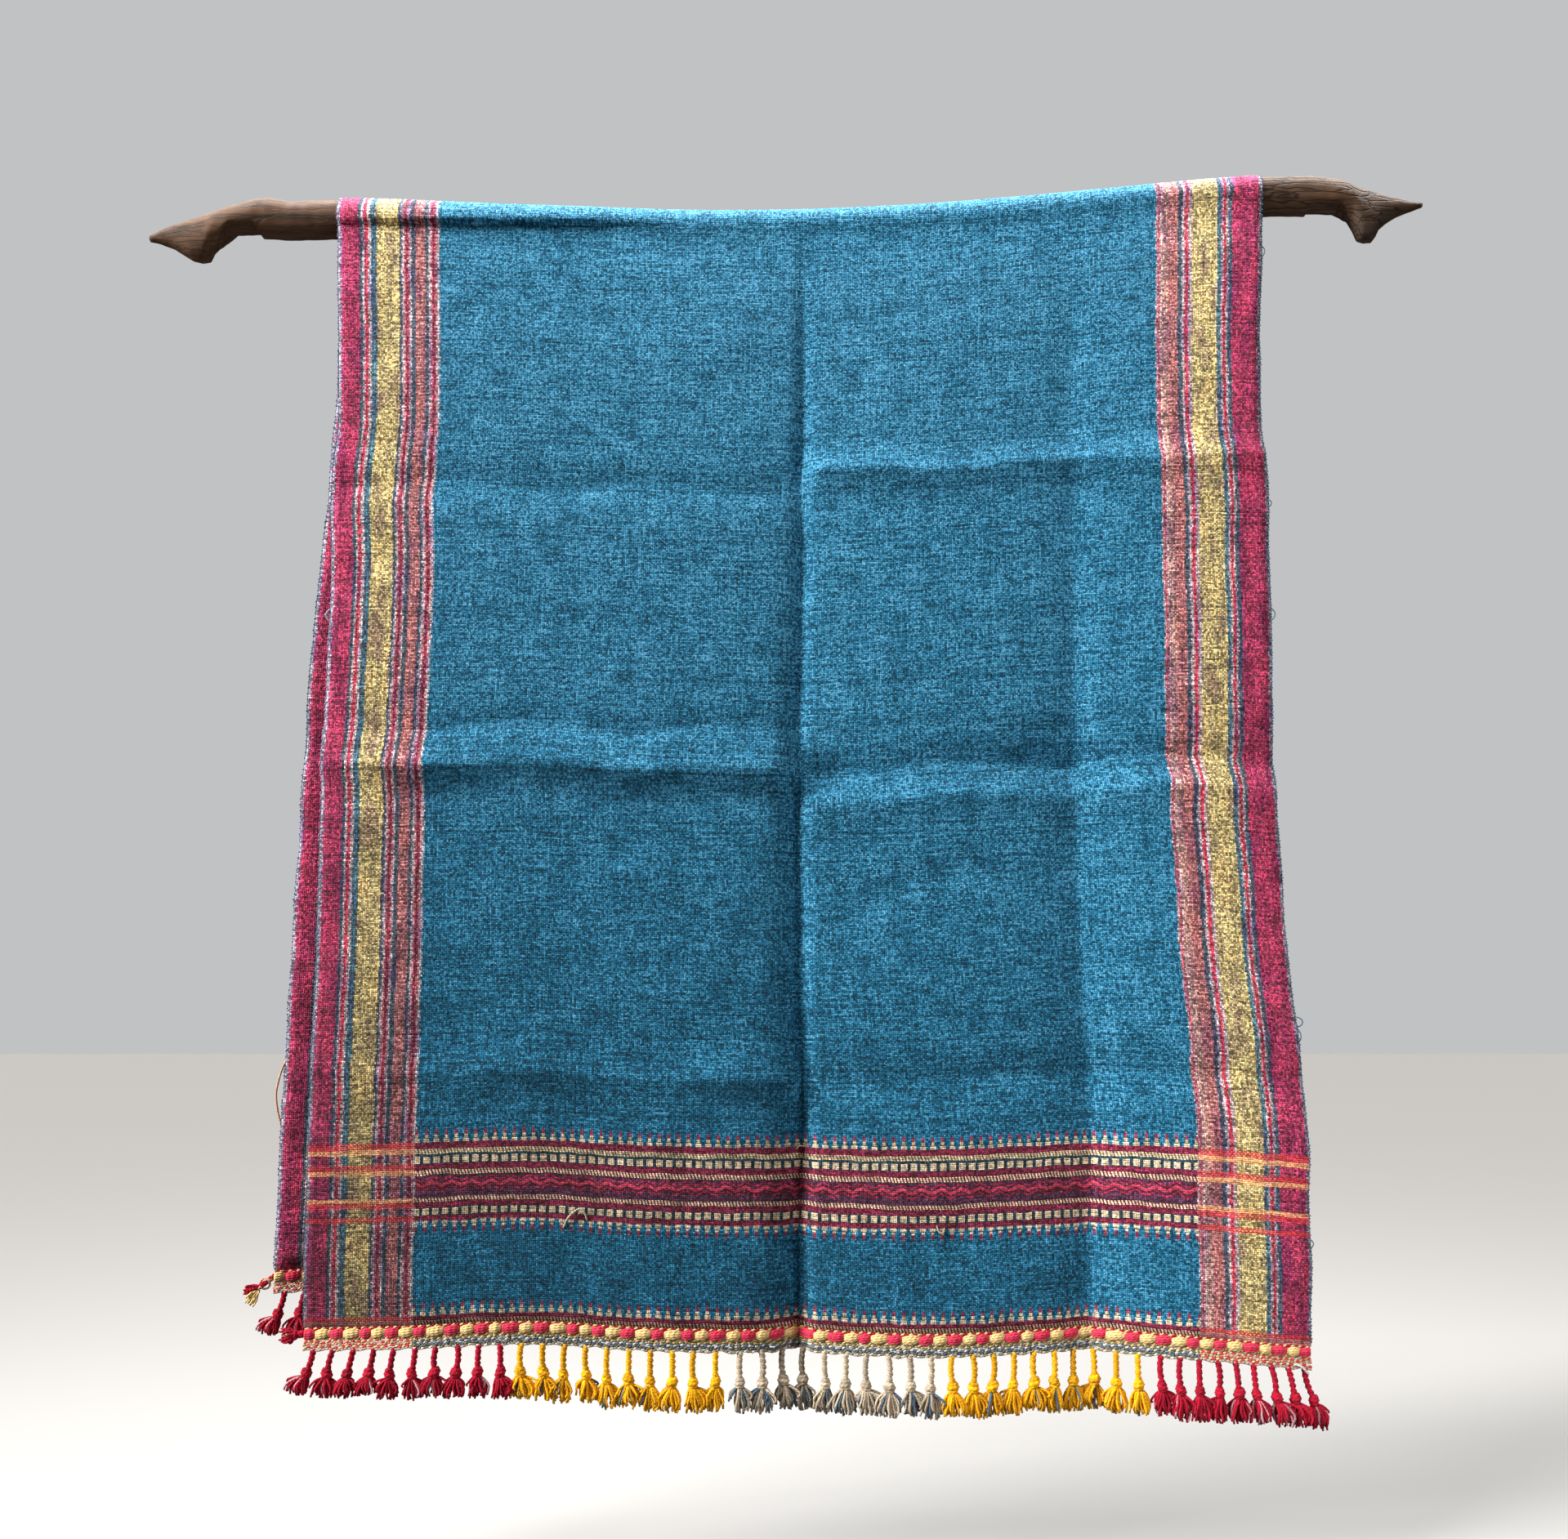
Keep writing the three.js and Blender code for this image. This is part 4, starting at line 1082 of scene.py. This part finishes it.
def selvedge(across, outward, seed, finish_of):
    coarse = edge_line(across, 0.001, 0.999, 700)
    steps = np.linalg.norm(np.diff(coarse, axis=0), axis=1)
    along = np.concatenate([[0], np.cumsum(steps)])
    strands = Strands()
    jitter = waves(seed, 10, 0.006, 0.05)
    for k in range(SELVEDGE_STRETCHES):
        start, stop = along[-1] * k / SELVEDGE_STRETCHES, along[-1] * (k + 1) / SELVEDGE_STRETCHES
        here = np.arange(start, stop, TURN_PITCH / 5)
        path = np.stack([np.interp(here, along, coarse[:, c]) for c in range(3)], axis=1)
        phase = 2 * np.pi * here / TURN_PITCH
        bulge = TURN_OUT * (0.5 - 0.5 * np.cos(phase)) * (1 + 0.5 * jitter(here, 0 * here))
        path[:, 0] += outward * bulge
        path[:, 1] += 0.0008 * np.sin(phase * 0.5)
        strands.add(path, TURN_THICKNESS * (1 + 0.25 * jitter(here, here + 1)), 4, finish_of(k))
    return strands


def loose_loop(strands, start, end, outward, reach, radius, finish, turns=1.0):
    """A yarn that leaves the edge at start, bows out and comes back at end."""
    t = np.linspace(0, 1, 22)[:, None]
    path = np.array(start) * (1 - t) + np.array(end) * t
    path += np.array([outward, -0.25, 0]) * reach * np.sin(np.pi * t)
    path[:, 2] += 0.15 * reach * np.sin(2 * np.pi * turns * t[:, 0])
    strands.add(path, radius, 5, finish)


left_strands = selvedge(0, -1, 21, lambda k: 0 if k % 3 else 1)
right_strands = selvedge(1, 1, 22, lambda k: 1)
edge_yarns = [lavender_yarn, blue_grey_yarn, peach_yarn]
# Loose yarns. Columns: height, length, how far it stands off, finish.
for height, length, reach, finish in [
    (-0.060, 0.012, 0.003, 1), (-0.320, 0.008, 0.003, 1), (-0.428, 0.013, 0.004, 1),
    (-0.818, 0.010, 0.007, 1), (-0.828, 0.016, 0.004, 1), (-1.020, 0.008, 0.003, 1),
]:
    down = np.array([-height / FRONT_DROP])
    root = drop_points(-1, np.array([1.0]), down)[0]
    loose_loop(right_strands, root, root - [0, 0, length], 1, reach, 0.0006, finish)
for side, height, length, reach, finish in [(1, -0.905, 0.064, 0.007, 2), (-1, -0.420, 0.012, 0.005, 0)]:
    down = np.array([-height / FRONT_DROP])
    root = drop_points(side, np.array([0.0]), down)[0]
    foot = drop_points(side, np.array([0.0]), down + length / FRONT_DROP)[0]
    loose_loop(left_strands, root, foot, -1, reach, 0.0011, finish, turns=2.0)
selvedge_left = left_strands.made("selvedge_left", edge_yarns, slot="cloth")
selvedge_right = right_strands.made("selvedge_right", edge_yarns, slot="cloth")


# ---- The braids ----
# A plump braid of two bundles, pink and pale yellow wool, is twined through the warp ends
# along each hem. Each bundle has four yarns, one above the other, and the colours take turns
# at the front. A finer pair of yarns is twined close above the braid and another below it.

BRAID_TURN = 0.0277
BRAID_SWING = 0.0024
BRAID_WAIST = 0.50
PLY_LEVELS = [-0.0031, -0.0011, 0.0011, 0.0031]
PLY_SLANT = 0.0006
PLY_RADIUS = 0.0014
CORD_LEVEL = 0.0049
CORD_TURN = 0.0078
CORD_RADIUS = 0.0009
BRAID_STEP = 0.0014


def hem_points(side, x):
    """Points on the cloth's hem at some places along X."""
    across = np.linspace(0, 1, 400)
    line = drop_points(side, across, np.ones(400))
    return np.stack([x, np.interp(x, line[:, 0], line[:, 1]), np.interp(x, line[:, 0], line[:, 2])], axis=1)


def hem_ends(side):
    line = drop_points(side, np.array([0.0, 1.0]), np.ones(2))
    return line[0, 0], line[1, 0]


def braid(side, name, node):
    left, right = hem_ends(side)
    x = np.arange(left + 0.001, right - 0.001, BRAID_STEP)
    middle = hem_points(side, x)
    middle[:, 2] -= SEAM_GAP + BRAID_HALF_HEIGHT
    uneven = waves(31 + side, 8, 0.02, 0.09)
    wobble = uneven(x, 0 * x)
    strands = Strands()
    for bundle in range(2):
        turn = 2 * np.pi * (x / BRAID_TURN + 0.08 * wobble) + np.pi * bundle
        # A bundle swells where it lies at the front or the back and narrows where it crosses.
        plump = BRAID_WAIST + (1 - BRAID_WAIST) * np.abs(np.sin(turn)) ** 0.7
        for level in PLY_LEVELS:
            path = middle.copy()
            path[:, 2] += level * plump + PLY_SLANT * np.cos(turn)
            path[:, 1] += BRAID_SWING * np.sin(turn) * math.sqrt(1 - (level / 0.005) ** 2)
            strands.add(path, PLY_RADIUS * plump**0.5, 8, bundle)
    for level, finishes in ((CORD_LEVEL, (2, 1)), (-CORD_LEVEL, (3, 1))):
        for yarn, finish in enumerate(finishes):
            wind = 2 * np.pi * x / CORD_TURN + np.pi * yarn
            path = middle.copy()
            path[:, 2] += level + 0.0005 * np.cos(wind)
            path[:, 1] += 0.0011 * np.sin(wind)
            strands.add(path, CORD_RADIUS, 5, finish)
    return strands.made(name, [braid_pink, braid_yellow, red_yarn, olive_yarn], node, slot="braid")


braid_pink = yarn_material("yarn_braid_pink", (0.740, 0.045, 0.100), twist=120.0)
braid_yellow = yarn_material("yarn_braid_yellow", (0.900, 0.640, 0.270), twist=120.0)
red_yarn = yarn_material("yarn_crimson", (0.440, 0.003, 0.026))
olive_yarn = yarn_material("yarn_olive", (0.250, 0.210, 0.110))
braid_front = braid(-1, "braid_front_twined", "braid_front")
braid_back = braid(1, "braid_back_twined", "braid_back")


# ---- The headings and fringes ----
# Below each braid run four rows of twining, mostly blue-grey, olive and white wool under the
# field and yellow, pink and peach under the borders. The warp ends leave them as twisted
# stems, knotted and cut to tufts.

HEADING_DROP = 2 * BRAID_HALF_HEIGHT + 2 * SEAM_GAP + 0.0002
HEADING_HEIGHT = 0.0105
HEADING_ROWS = [0.0012, 0.0037, 0.0062, 0.0087]
HEADING_TURN = 0.0058
HEADING_YARN = 0.0011
HEADING_WAVE = 0.0195
HEADING_STEP = 0.0009
UNDER_LEFT_BORDER, UNDER_RIGHT_BORDER = 0.107, 0.111
TASSEL_ROOT = 0.002
TASSEL_SHORT = 0.042
TASSEL_LONG = 0.057
TASSEL_LONG_FROM = 0.35
LEAN_LEFT, LEAN_LEFT_REACH = -0.013, 0.2
LEAN_RIGHT, LEAN_RIGHT_REACH = 0.019, 0.14
STEM_SHARE, KNOT_SHARE = 0.44, 0.60
STEM_TURN = 0.0105
STEM_PLY = 0.0019
STEM_SWING = 0.0014
KNOT_GIRTH = 0.0032
KNOT_YARN = 0.0024
TUFT_YARNS = 46
TUFT_HALF_WIDTH = 0.0115
TUFT_HALF_DEPTH = 0.0060
BACK_FRINGE_SHIFT = -0.042

# Columns: colour, first tassel, last tassel, how many.
FRINGE = [
    ("red_left", -0.444, -0.266, 10),
    ("yellow_left", -0.246, -0.064, 10),
    ("cream", -0.041, 0.137, 10),
    ("yellow_right", 0.157, 0.331, 10),
    ("red_right", 0.352, 0.490, 9),
]

gold_yarn = yarn_material("yarn_gold", (1.000, 0.480, 0.004))
cream_yarn = yarn_material("yarn_cream", (0.580, 0.470, 0.340))
faded_pink_yarn = yarn_material("yarn_faded_pink", (0.640, 0.330, 0.370))
white_yarn = yarn_material("yarn_white", (0.660, 0.600, 0.560))

# The heading's yarns, and for each row its two, below the field and below the borders.
HEADING_YARNS = [blue_grey_yarn, white_yarn, braid_yellow, peach_yarn, olive_yarn, braid_pink]
HEADING_FIELD = [
    (olive_yarn, braid_yellow), (blue_grey_yarn, white_yarn), (blue_grey_yarn, olive_yarn),
    (olive_yarn, white_yarn),
]
HEADING_BORDER = [
    (braid_yellow, braid_pink), (peach_yarn, peach_yarn), (braid_yellow, braid_pink),
    (white_yarn, peach_yarn),
]
# For each colour: its slot, main yarn, the odd yarn among it and how often that comes.
FRINGE_YARNS = {
    "red": ("red_yarn", red_yarn, faded_pink_yarn, 0.07),
    "yellow": ("yellow_yarn", gold_yarn, blue_grey_yarn, 0.05),
    "cream": ("cream_yarn", cream_yarn, blue_grey_yarn, 0.20),
}


def heading(strands, side, start, stop, name, finishes):
    """Twined rows from start to stop. Other colours take over under the borders."""
    left, right = hem_ends(side)
    x = np.arange(start, stop, HEADING_STEP)
    line = hem_points(side, x)
    uneven = waves(41 + side, 8, 0.012, 0.05)
    border = (x < left + UNDER_LEFT_BORDER) | (x > right - UNDER_RIGHT_BORDER)
    for row, drop in enumerate(HEADING_ROWS):
        sway = 0.0007 * np.sin(2 * np.pi * x / HEADING_WAVE + 0.6 * row)
        sway += 0.0006 * uneven(x, 0 * x + row)
        for yarn in range(2):
            wind = 2 * np.pi * x / (HEADING_TURN * (1 + 0.09 * row)) + np.pi * yarn + 2.4 * row
            path = line.copy()
            path[:, 2] += sway - HEADING_DROP - drop + 0.0003 * np.cos(wind)
            path[:, 1] += HEADING_YARN * np.sin(wind)
            if name in ("red_left", "red_right"):
                border_finish = finishes.index(HEADING_BORDER[row][yarn])
                strands.add(path[border], HEADING_YARN, 5, border_finish)
                path = path[~border]
            strands.add(path, HEADING_YARN, 5, finishes.index(HEADING_FIELD[row][yarn]))


def tuft(strands, draw, centre, width, odd_share):
    """The cut yarns below a knot, which flare out towards the tassel's tip."""
    neck = centre(KNOT_SHARE - 0.03)
    tip_tilt = draw.uniform(-0.0035, 0.0035)
    for _ in range(TUFT_YARNS):
        angle = draw.uniform(0, 2 * math.pi)
        spread = math.sqrt(draw.uniform(0.02, 1))
        tip_share = draw.uniform(0.88, 1.01) - 0.05 * spread
        tip = centre(tip_share)
        tip = tip + [
            TUFT_HALF_WIDTH * width * spread * math.cos(angle) + tip_tilt,
            TUFT_HALF_DEPTH * width * spread * math.sin(angle),
            0,
        ]
        start = neck + [0.0026 * spread * math.cos(angle), 0.0020 * spread * math.sin(angle), 0]
        if draw.random() < 0.16:
            tip = tip + [draw.choice([-1, 1]) * draw.uniform(0.002, 0.006), 0, draw.uniform(0.004, 0.010)]
        t = np.linspace(0, 1, 6)[:, None]
        flare = np.array([1, 1, 0]) * np.sin(t * np.pi * 0.62) ** 0.8 + np.array([0, 0, 1]) * t
        path = start + (tip - start) * flare
        path[:, 0] += 0.0014 * t[:, 0] * np.sin(6 * t[:, 0] + angle * 3)
        path[:, 1] += 0.0007 * t[:, 0] * np.cos(4 * t[:, 0] + angle * 2)
        finish = 1 if draw.random() < odd_share else 0
        strands.add(path, np.linspace(0.0013, 0.0010, 6), 4, finish)


def tassel(strands, draw, root, length, lean, odd_share):
    """A twisted stem, an overhand knot and a tuft of cut yarn, hanging from root."""
    bow = draw.uniform(-0.0016, 0.0016)
    swing = draw.uniform(0, 6.28)
    width = draw.uniform(0.8, 1.15)

    def centre(share):
        share = np.asarray(share, float)
        x = root[0] + lean * share + bow * np.sin(np.pi * np.clip(share / STEM_SHARE, 0, 1))
        return np.stack([x, root[1] + 0 * share, root[2] - length * share], axis=-1)

    shares = np.linspace(0, KNOT_SHARE, 15)
    for ply in range(2):
        wind = 2 * np.pi * shares * length / STEM_TURN + np.pi * ply + swing
        path = centre(shares)
        path[:, 0] += STEM_SWING * np.cos(wind)
        path[:, 1] += STEM_SWING * np.sin(wind)
        strands.add(path, STEM_PLY, 6, 0)
    knot = centre((STEM_SHARE + KNOT_SHARE) / 2)
    tilt = draw.uniform(-0.5, 0.5)
    for level in (-0.0024, 0.0002, 0.0028):
        angle = np.linspace(0, 2.15 * np.pi, 13) + draw.uniform(0, 6)
        girth = KNOT_GIRTH * width * (1.1 if abs(level) < 0.001 else 0.8)
        loop = np.stack([
            knot[0] + girth * np.cos(angle),
            knot[1] + girth * 0.85 * np.sin(angle),
            knot[2] + level + girth * tilt * np.cos(angle) + 0.0006 * angle / 6.28,
        ], axis=1)
        strands.add(loop, KNOT_YARN, 6, 0)
    tuft(strands, draw, centre, width, odd_share)


def fringe(side, index):
    name, first, last, count = FRINGE[index]
    colour = name.split("_")[0]
    slot, main, odd, odd_share = FRINGE_YARNS[colour]
    left, right = hem_ends(side)
    shift = 0 if side < 0 else BACK_FRINGE_SHIFT
    start = (FRINGE[index - 1][2] + first) / 2 + shift if index else left
    stop = (last + FRINGE[index + 1][1]) / 2 + shift if index < len(FRINGE) - 1 else right
    draw = random.Random(100 * index + side)
    finishes = [main, odd, *HEADING_YARNS]
    strands = Strands()
    heading(strands, side, start, stop, name, finishes)
    for k in range(count):
        x = first + (last - first) * k / (count - 1) + shift
        across = (x - left) / (right - left)
        hem = hem_points(side, np.array([x]))[0]
        root = hem - [0, 0, HEADING_DROP + HEADING_HEIGHT - TASSEL_ROOT]
        grown = min(1, across / TASSEL_LONG_FROM)
        length = TASSEL_SHORT + (TASSEL_LONG - TASSEL_SHORT) * grown + TASSEL_ROOT
        length *= draw.uniform(0.94, 1.0)
        near_left = max(0, 1 - across / LEAN_LEFT_REACH)
        near_right = max(0, 1 - (1 - across) / LEAN_RIGHT_REACH)
        lean = LEAN_LEFT * near_left + LEAN_RIGHT * near_right**2 + draw.uniform(-0.002, 0.002)
        tassel(strands, draw, root, length, lean, odd_share)
    face = "front" if side < 0 else "back"
    return strands.made(f"tassels_{face}_{name}", finishes, f"fringe_{face}_{name}", slot=slot)


fringes = [fringe(side, index) for side in (-1, 1) for index in range(len(FRINGE))]


# ---- The corner tufts ----
# At the left corners the ends of each braid are tied off and cut short in small tufts, red
# with a pale yellow one at the back, beside a drooping loop of peach yarn.


def corner_tuft(strands, draw, start, way, length, spread, yarns, finish):
    """A tuft of cut yarn that leaves start along way."""
    way = np.array(way, float) / np.linalg.norm(way)
    for _ in range(yarns):
        aside = np.array([draw.uniform(-1, 1), draw.uniform(-0.6, 0.6), draw.uniform(-1, 1)])
        end = start + way * length * draw.uniform(0.75, 1) + aside * spread
        t = np.linspace(0, 1, 6)[:, None]
        path = start + (end - start) * t + aside * spread * 0.35 * np.sin(np.pi * t)
        strands.add(path, np.linspace(0.0011, 0.0008, 6), 4, finish)


def corner(side, name, node):
    left, _ = hem_ends(side)
    draw = random.Random(70 + side)
    root = hem_points(side, np.array([left]))[0] - [SEAM_GAP, 0, SEAM_GAP + BRAID_HALF_HEIGHT]
    strands = Strands()
    if side < 0:
        t = np.linspace(0, 1, 12)[:, None]
        for k in range(4):
            turn = 2 * np.pi * (t[:, 0] * 0.8 + k / 4)
            path = root + np.array([-0.009, 0, -0.001]) * t
            path[:, 2] += 0.0022 * np.cos(turn)
            path[:, 1] += 0.0014 * np.sin(turn)
            strands.add(path, 0.0015, 5, 0)
        knot = root + [-0.009, 0, -0.001]
        for level in (-0.0014, 0.0014):
            angle = np.linspace(0, 2.1 * np.pi, 13)
            loop = np.stack([
                knot[0] + level + 0 * angle,
                knot[1] + 0.0024 * np.cos(angle),
                knot[2] + 0.0034 * np.sin(angle),
            ], axis=1)
            strands.add(loop, 0.0018, 6, 0)
        corner_tuft(strands, draw, knot, (-1, 0, -0.12), 0.0095, 0.0068, 44, 0)
        corner_tuft(strands, draw, knot, (-1, 0, 0.4), 0.0085, 0.004, 4, 2)
    else:
        t = np.linspace(0, 1, 16)[:, None]
        for k in range(3):
            turn = 2 * np.pi * (t[:, 0] * 1.4 + k / 3)
            path = root + np.array([-0.014, 0, -0.010]) * t
            path[:, 2] += 0.0020 * np.cos(turn)
            path[:, 1] += 0.0014 * np.sin(turn)
            strands.add(path, 0.0014, 5, k % 2 * 2)
        knot = root + [-0.0135, 0, -0.0095]
        corner_tuft(strands, draw, knot, (-1, 0, -0.25), 0.0125, 0.0042, 26, 0)
        corner_tuft(strands, draw, knot + [-0.001, 0, -0.004], (-0.75, 0, -1), 0.0125, 0.0052, 30, 1)
        angle = np.linspace(0, 2 * np.pi, 16)
        loop = np.stack([
            root[0] - 0.008 - 0.0048 * np.cos(angle),
            root[1] + 0.0008 * np.sin(2 * angle),
            root[2] - 0.0065 + 0.0050 * np.sin(angle),
        ], axis=1)
        strands.add(loop, 0.0011, 5, 2)
    return strands.made(name, [red_yarn, braid_yellow, peach_yarn], node, slot="braid")


corner_front = corner(-1, "corner_tuft_front_yarn", "corner_tuft_front")
corner_back = corner(1, "corner_tuft_back_yarn", "corner_tuft_back")


# ---- The loose yarns ----
# A few ends of cream wool left over from weaving the band stand off its face, and a thicker
# end hangs out at the right corner of the heading.


def on_front(x, z, off):
    """The point of the front drop at x and z, moved off the cloth."""
    across, down = 0.5, 0.5
    for _ in range(6):
        point = drop_points(-1, np.array([across]), np.array([down]))[0]
        across += (x - point[0]) / CLOTH_WIDTH
        down = min(1.0, down + (point[2] - z) / FRONT_DROP)
    return point + [0, -off - CLOTH_THICKNESS / 2, 0]


# Columns: thickness, then x, height and distance off the cloth along the yarn.
LOOSE_ENDS = [
    (0.00085, [(-0.2087, -1.0212, 0.0004), (-0.2030, -1.0105, 0.0030), (-0.1931, -1.0031, 0.0040),
               (-0.1885, -1.0070, 0.0034), (-0.1862, -1.0144, 0.0006)]),
    (0.00080, [(0.1440, -1.0190, 0.0002), (0.1455, -1.0240, 0.0026), (0.1490, -1.0255, 0.0030),
               (0.1515, -1.0215, 0.0002)]),
    (0.00070, [(0.0120, -0.9510, 0.0002), (0.0150, -0.9480, 0.0026), (0.0195, -0.9490, 0.0004)]),
]
CORNER_END_X = 0.478

loose = Strands()
for thickness, places in LOOSE_ENDS:
    knots = np.array([on_front(*place) for place in places])
    smooth = np.linspace(0, 1, 24)
    shares = np.linspace(0, 1, len(knots))
    path = [smooth_line(np.stack([shares, knots[:, c]], axis=1), smooth) for c in range(3)]
    loose.add(np.stack(path, axis=1), thickness, 5, 0)
corner_end = hem_points(-1, np.array([CORNER_END_X]))[0] - [0, 0, HEADING_DROP + 0.006]
t = np.linspace(0, 1, 16)
hang = np.stack([0.0145 * t, -0.0016 * np.sin(np.pi * t), 0.002 * t - 0.011 * t**2], axis=1)
hanging = corner_end + hang
loose.add(hanging, np.linspace(0.0014, 0.0010, 16), 6, 1)
loose_ends = loose.made("loose_yarn_ends", [cream_yarn, white_yarn], slot="cloth")


# ---- The studio ----
# A plain pale floor below the hanging shawl, soft light from the upper left, and the camera
# below the middle of the shawl, tilted up a little.

FLOOR_HEIGHT = -1.36
FLOOR_HALF = 9.0
CAMERA_PLACE = (0, -1.556, -0.7746)
CAMERA_TILT = 7.1
CAMERA_LENS = 36
CAMERA_SENSOR = 36

floor_material, floor_tree, floor_shader = new_material("pale_floor", 0.9)
floor_seen = put(floor_tree, "LightPath").outputs["Is Camera Ray"]
floor_colour = blend(floor_tree, floor_seen, (0.12, 0.12, 0.12), (0.60, 0.59, 0.575))
floor_tree.links.new(floor_colour, floor_shader.inputs["Base Color"])
corners = [(FLOOR_HALF * x, FLOOR_HALF * y, FLOOR_HEIGHT) for x, y in ((-1, -1), (1, -1), (1, 1), (-1, 1))]
floor = new_object("floor", corners, [(0, 1, 2, 3)], [floor_material])


def soft_light(name, place, aim, size, power, colour):
    lamp = bpy.data.lights.new(name, "AREA")
    lamp.shape = "RECTANGLE"
    lamp.size, lamp.size_y = size
    lamp.energy = power
    lamp.color = colour
    made = bpy.data.objects.new(name, lamp)
    made.location = place
    way = np.array(aim, float) - np.array(place, float)
    yaw = math.atan2(way[0], -way[1])
    pitch = math.atan2(math.hypot(way[0], way[1]), -way[2])
    made.rotation_euler = (pitch, 0, yaw + math.pi)
    bpy.context.collection.objects.link(made)


# Columns: name, the way it shines, strength.
for name, way, energy in (
    ("low_sun", (0.86, 0.32, -0.40), 4.4),
    ("high_sun", (0.52, 0.40, -0.76), 1.7),
):
    sun_data = bpy.data.lights.new(name, "SUN")
    sun_data.energy = energy
    sun_data.angle = math.radians(16)
    sun_data.color = (1.0, 0.98, 0.95)
    sun = bpy.data.objects.new(name, sun_data)
    sun.rotation_euler = Vector(way).to_track_quat("-Z", "Y").to_euler()
    bpy.context.collection.objects.link(sun)
soft_light("top", (-0.35, -0.60, 0.62), (-0.20, 0, -0.38), (2.6, 0.3), 10, (1.0, 1.0, 1.0))
soft_light("over", (0.10, 0.08, 0.55), (0.10, 0, 0), (2.2, 0.3), 39, (1.0, 1.0, 1.0))
soft_light("fill", (0.95, -0.50, -1.0), (0.50, 0, -1.0), (0.4, 0.4), 3.2, (1.0, 0.98, 0.96))

# The studio's pale wall is seen, but lights the cloth only weakly.
world = bpy.data.worlds.new("studio")
world.use_nodes = True
room = world.node_tree
backdrop = room.nodes["Background"]
backdrop.inputs["Color"].default_value = (0.86, 0.87, 0.88, 1)
seen = put(room, "LightPath").outputs["Is Camera Ray"]
brightness = put(room, "MapRange", {"Value": seen, "To Min": 0.06, "To Max": 0.62}).outputs[0]
room.links.new(brightness, backdrop.inputs["Strength"])
bpy.context.scene.world = world
bpy.context.scene.view_settings.view_transform = "Standard"

camera_data = bpy.data.cameras.new("camera")
camera_data.lens = CAMERA_LENS
camera_data.sensor_width = CAMERA_SENSOR
camera = bpy.data.objects.new("camera", camera_data)
camera.location = CAMERA_PLACE
camera.rotation_euler = (math.radians(90 + CAMERA_TILT), 0, 0)
bpy.context.collection.objects.link(camera)
bpy.context.scene.camera = camera
